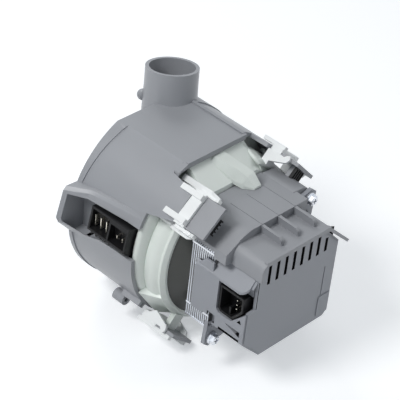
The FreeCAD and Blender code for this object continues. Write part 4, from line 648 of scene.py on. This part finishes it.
# Rounded rear corner of the sloping shelf over the motor connector; each side of it is a height
# at the shelf's edge and a rise for each millimetre in X
cornerSizes = {"outline": ((-43.2, 136.3), (-46.8, 136.3), (-46.65, 138.6), (-46.0, 140.6),
                           (-44.8, 142.3), (-43.2, 143.4)),
               "edge": -46.8, "top": (17.42, 1.0306), "bottom": (15.6, 0.918)}
size = cornerSizes
sides = [[at(x, depth, height + (x - size["edge"]) * rise) for x, depth in size["outline"]]
         for height, rise in (size["top"], size["bottom"])]
addPiece("shelf_corner", slabMesh("shelf_corner", *sides), "boxGrey", 40)


# Gives the chosen faces of a softened node another finish
def repaint(nodeName, material, isChosen):
    mesh = bpy.data.objects[nodeName + "_shape"].data
    if mesh.materials.find(material) < 0:
        mesh.materials.append(finishes[material])
    for polygon in mesh.polygons:
        if isChosen(polygon, polygon.center / mm):
            polygon.material_index = mesh.materials.find(material)


# Grey hooks of the lower latches: faces of the white ring that stand outside its ramps
hookSizes = {"outside": 67.6}
repaint("rear_flange", "coverGrey",
        lambda face, middle: middle.z < 0 and math.hypot(middle.x, middle.z) > hookSizes["outside"])

# Black ribbed pads under the rear edges of the upper hooks; their black is painted shade for the
# shadowed gap under each hook
gapShadePadSizes = {"turns": (130.0, 44.0), "backs": (105.4, 97.4), "radius": 60.0, "high": 9.6,
            "wide": 12.0, "deep": 1.0, "ribs": 5, "ribThick": 1.0, "ribDeep": 1.3}
tree, sizesIn, treeOut = shapeTree("ribbedShadePad", [
    ("Size", "NodeSocketVector", (0.009, 0.012, 0.001)), ("Ribs", "NodeSocketInt", 5),
    ("Rib Size", "NodeSocketVector", (0.009, 0.001, 0.0013)),
    ("Step", "NodeSocketVector", (0, 0.0026, 0)), ("Start", "NodeSocketVector", (0, -0.005, 0.001)),
    ("Turn", "NodeSocketVector", (0, 0, 0))])
base = wired(tree, "GeometryNodeMeshCube", Size=sizesIn["Size"])
rib = wired(tree, "GeometryNodeMeshCube", Size=sizesIn["Rib Size"])
row = wired(tree, "GeometryNodeMeshLine", Count=sizesIn["Ribs"], Offset=sizesIn["Step"],
            Start_Location=sizesIn["Start"])
ribs = wired(tree, "GeometryNodeInstanceOnPoints", Points=row.outputs[0], Instance=rib.outputs[0])
pad = tree.nodes.new("GeometryNodeJoinGeometry")
tree.links.new(base.outputs[0], pad.inputs[0])
tree.links.new(ribs.outputs[0], pad.inputs[0])
turned = wired(tree, "GeometryNodeTransform", Geometry=pad.outputs[0], Rotation=sizesIn["Turn"])
placed = wired(tree, "GeometryNodeInstanceOnPoints", Points=sizesIn["Geometry"],
               Instance=turned.outputs[0])
closeTree(tree, sizesIn, treeOut, placed.outputs[0])
size = gapShadePadSizes
free = size["wide"] - size["ribThick"]
for name, turn, back in zip(("left", "right"), size["turns"], size["backs"]):
    angle = math.radians(turn)
    # the pad's X goes out from the shaft, its Y along the tangent and its Z to the rear
    basis = Matrix(((math.cos(angle), -math.sin(angle), 0), (0, 0, -1),
                    (math.sin(angle), math.cos(angle), 0)))
    # painted shade: each pad's black finish stands for the shadow in the gap under its hook
    grown("hook_shade_pad_" + name, tree, [around(size["radius"] + size["high"] / 2, turn, back)], [], {
        "Size": (size["high"] * mm, size["wide"] * mm, size["deep"] * mm), "Ribs": size["ribs"],
        "Rib Size": (size["high"] * mm, size["ribThick"] * mm, size["ribDeep"] * mm),
        "Step": (0, free / (size["ribs"] - 1) * mm, 0),
        "Start": (0, -free / 2 * mm, size["deep"] * mm),
        "Turn": tuple(basis.to_euler("XYZ"))}, "connectorBlack")

# White boot below the upper left latch's lower prong, its outline in turns and depths
bootSizes = {"radius": 66.0, "thick": 3.0, "bevel": 0.8,
             "outline": ((145.0, 78.0), (145.4, 87.4), (145.3, 93.8), (144.1, 96.9), (141.3, 97.2),
                         (140.2, 89.6), (140.6, 80.0))}
size = bootSizes
sides = [[around(radius, turn, depth) for turn, depth in size["outline"]]
         for radius in (size["radius"], size["radius"] - size["thick"])]
boot = addPiece("latch_boot", slabMesh("latch_boot", *sides), "latchWhite")
bevelled(boot, size["bevel"], 3)
print("hook pads and latch boot added")

# White collar between the drum's edge and the bellows ring; each row is a lift, radius and depth
collarSizes = {"turns": (145, 395), "steps": 84, "skin": 2.0,
               "rows": ((6.0, 66.2, 58.7), (6.0, 66.6, 60.0), (6.0, 66.4, 61.8), (4.6, 65.0, 63.2),
                        (2.4, 61.6, 64.4), (0.8, 58.4, 65.2))}
size = collarSizes
rows = []
for step in range(size["steps"] + 1):
    turn = size["turns"][0] + (size["turns"][1] - size["turns"][0]) * step / size["steps"]
    rows.append([around(radius, turn, depth, lift) for lift, radius, depth in size["rows"]])
collar = addPiece("ring_collar", skinMesh("ring_collar", rows), "ringWhite",
                  60)
thickened(collar, size["skin"])

# Nub on the outlet's left side
nubSizes = {"place": (10.2, -17.4, 65.8), "out": (-0.67, 0.75), "thick": 2.9, "reach": 4.2,
            "high": 4.6, "segments": 24, "rings": 14}
size = nubSizes
work = bmesh.new()
bmesh.ops.create_uvsphere(work, u_segments=size["segments"], v_segments=size["rings"], radius=1.0)
outwards = Vector((*size["out"], 0)).normalized()
aside = Vector((-outwards.y, outwards.x, 0))
basis = Matrix((outwards * size["reach"] * mm, aside * size["thick"] * mm,
                Vector((0, 0, size["high"] * mm)))).transposed().to_4x4()
bmesh.ops.transform(work, matrix=Matrix.Translation(at(*size["place"])) @ basis, verts=work.verts)
addPiece("outlet_nub", finishedMesh(work, "outlet_nub"), "pumpGrey", 60)

# Black tray behind the vent slots, open towards the plate: a splash shield whose black is painted
# shade for the dark inside behind the slots; its floor is smaller by the draft
ventShadeTraySizes = {"left": -31.5, "right": 36.5, "low": 3.0, "high": 35.0, "plate": 144.15, "deep": 2.2,
             "draft": 1.0, "skin": 0.5, "wallTilt": 0.4, "wallArea": 80}
size = ventShadeTraySizes
edges = []
for inset, depth in ((0.0, size["plate"]), (size["draft"], size["plate"] - size["deep"])):
    left, right = size["left"] + inset, size["right"] - inset
    low, high = size["low"] + inset, size["high"] - inset
    corners = ((left, low), (right, low), (right, high), (left, high))
    edges.append([at(x, depth, z) for x, z in corners])
# painted shade: the tray's black finish stands for the shadowed inside of the box
tray = addPiece("vent_shade_tray", slabMesh("vent_shade_tray", *edges, isOpen=True), "connectorBlack")
thickened(tray, size["skin"], 0)


# Painted shade: the slots' own walls are painted as dark as the tray, standing for the shade inside
# them
def isShadeSlotWall(face, middle):
    inField = (ventShadeTraySizes["left"] < middle.x < ventShadeTraySizes["right"]
               and ventShadeTraySizes["low"] < middle.z < ventShadeTraySizes["high"])
    return (inField and abs(face.normal.y) < ventShadeTraySizes["wallTilt"]
            and face.area < ventShadeTraySizes["wallArea"] * mm * mm)


# painted shade: the vent slots' walls of the rear plate get the black finish
repaint("rear_plate", "connectorBlack", isShadeSlotWall)
print("ring collar, outlet nub and vent tray added")


# Floor, world, lamps and camera

# One for rays from the camera and for mirrored and passed rays, nothing for the others
def seenMask(tree):
    rays = tree.nodes.new("ShaderNodeLightPath").outputs
    seen = mathNode(tree, "MAXIMUM", rays["Is Camera Ray"], rays["Is Glossy Ray"])
    return mathNode(tree, "MAXIMUM", seen, rays["Is Transmission Ray"])


# The reach is in metres; lift, sky and fill are strengths
floorSizes = {"reach": 14, "gap": 0.4, "colour": (0.80, 0.80, 0.80, 1), "roughness": 0.75,
              "lift": 0.42, "liftColour": (0.93, 0.965, 1.0, 1), "sky": 0.95, "fill": 0.27,
              "skyColour": (0.90, 0.95, 1.0, 1)}
reach = floorSizes["reach"]
floorMesh = bpy.data.meshes.new("floor")
floorCorners = [(-reach, -reach, 0), (reach, -reach, 0), (reach, reach, 0), (-reach, reach, 0)]
floorMesh.from_pydata(floorCorners, [], [(0, 1, 2, 3)])
floorMesh.transform(Matrix.Translation((0, 0, cadBox[0].z - floorSizes["gap"] * mm)))
floor = bpy.data.objects.new("floor", floorMesh)
scene.collection.objects.link(floor)
paper = bpy.data.materials.new("paleFloor")
paper.use_nodes = True
tree = paper.node_tree
sheet = tree.nodes["Principled BSDF"]
sheet.inputs["Base Color"].default_value = floorSizes["colour"]
sheet.inputs["Roughness"].default_value = floorSizes["roughness"]
# pale paper for what looks at it; the shadow stays in the shader
lift = wired(tree, "ShaderNodeEmission", Color=floorSizes["liftColour"],
             Strength=mathNode(tree, "MULTIPLY", seenMask(tree), floorSizes["lift"]))
both = tree.nodes.new("ShaderNodeAddShader")
tree.links.new(sheet.outputs[0], both.inputs[0])
tree.links.new(lift.outputs[0], both.inputs[1])
tree.links.new(both.outputs[0], tree.nodes["Material Output"].inputs["Surface"])
floorMesh.materials.append(paper)

world = bpy.data.worlds.new("studio")
scene.world = world
world.use_nodes = True
tree = world.node_tree
background = tree.nodes["Background"].inputs
background["Color"].default_value = floorSizes["skyColour"]
added = mathNode(tree, "MULTIPLY", seenMask(tree), floorSizes["sky"] - floorSizes["fill"])
feed(tree, background["Strength"], mathNode(tree, "ADD", added, floorSizes["fill"]))

# Places, sizes and aims in metres, powers in watts
lamps = {
    "key": {"place": (-0.80, 0.10, 0.95), "size": 0.45, "power": 8.8, "aim": (0, -0.09, 0)},
    "side": {"place": (0.75, -0.95, 0.75), "size": 0.6, "power": 2.8, "aim": (0, -0.09, 0)},
    "back": {"place": (0.35, 0.9, 0.8), "size": 0.5, "power": 3.0, "aim": (0, -0.06, 0.02)},
}
for name, lamp in lamps.items():
    light = bpy.data.lights.new(name, "AREA")
    light.shape = "DISK"
    light.size = lamp["size"]
    light.energy = lamp["power"]
    shining = bpy.data.objects.new(name, light)
    shining.location = lamp["place"]
    aim = Vector(lamp["aim"]) - Vector(lamp["place"])
    shining.rotation_euler = aim.to_track_quat("-Z", "Y").to_euler()
    scene.collection.objects.link(shining)

# Turns in degrees, the place and what is nearest in metres, lens and sensor in millimetres
cameraPlace = {"azimuth": -48.98807, "elevation": 36.48165, "roll": -6.50269,
               "place": (-0.7263, -0.7087, 0.7330), "lens": 156.83, "sensor": 36, "nearest": 0.05}
turn, rise, roll = (math.radians(cameraPlace[key]) for key in ("azimuth", "elevation", "roll"))
back = Vector((math.sin(turn) * math.cos(rise), -math.cos(turn) * math.cos(rise), math.sin(rise)))
right = Vector((math.cos(turn), math.sin(turn), 0))
up = back.cross(right)
rolledRight = math.cos(roll) * right - math.sin(roll) * up
rolledUp = math.sin(roll) * right + math.cos(roll) * up
facing = Matrix((rolledRight, rolledUp, back)).transposed().to_4x4()
camera = bpy.data.objects.new("camera", bpy.data.cameras.new("camera"))
scene.collection.objects.link(camera)
camera.matrix_world = Matrix.Translation(cameraPlace["place"]) @ facing
camera.data.sensor_width = cameraPlace["sensor"]
camera.data.lens = cameraPlace["lens"]
camera.data.clip_start = cameraPlace["nearest"]
scene.camera = camera
scene.view_settings.view_transform = "Standard"

print("camera and lamps set")
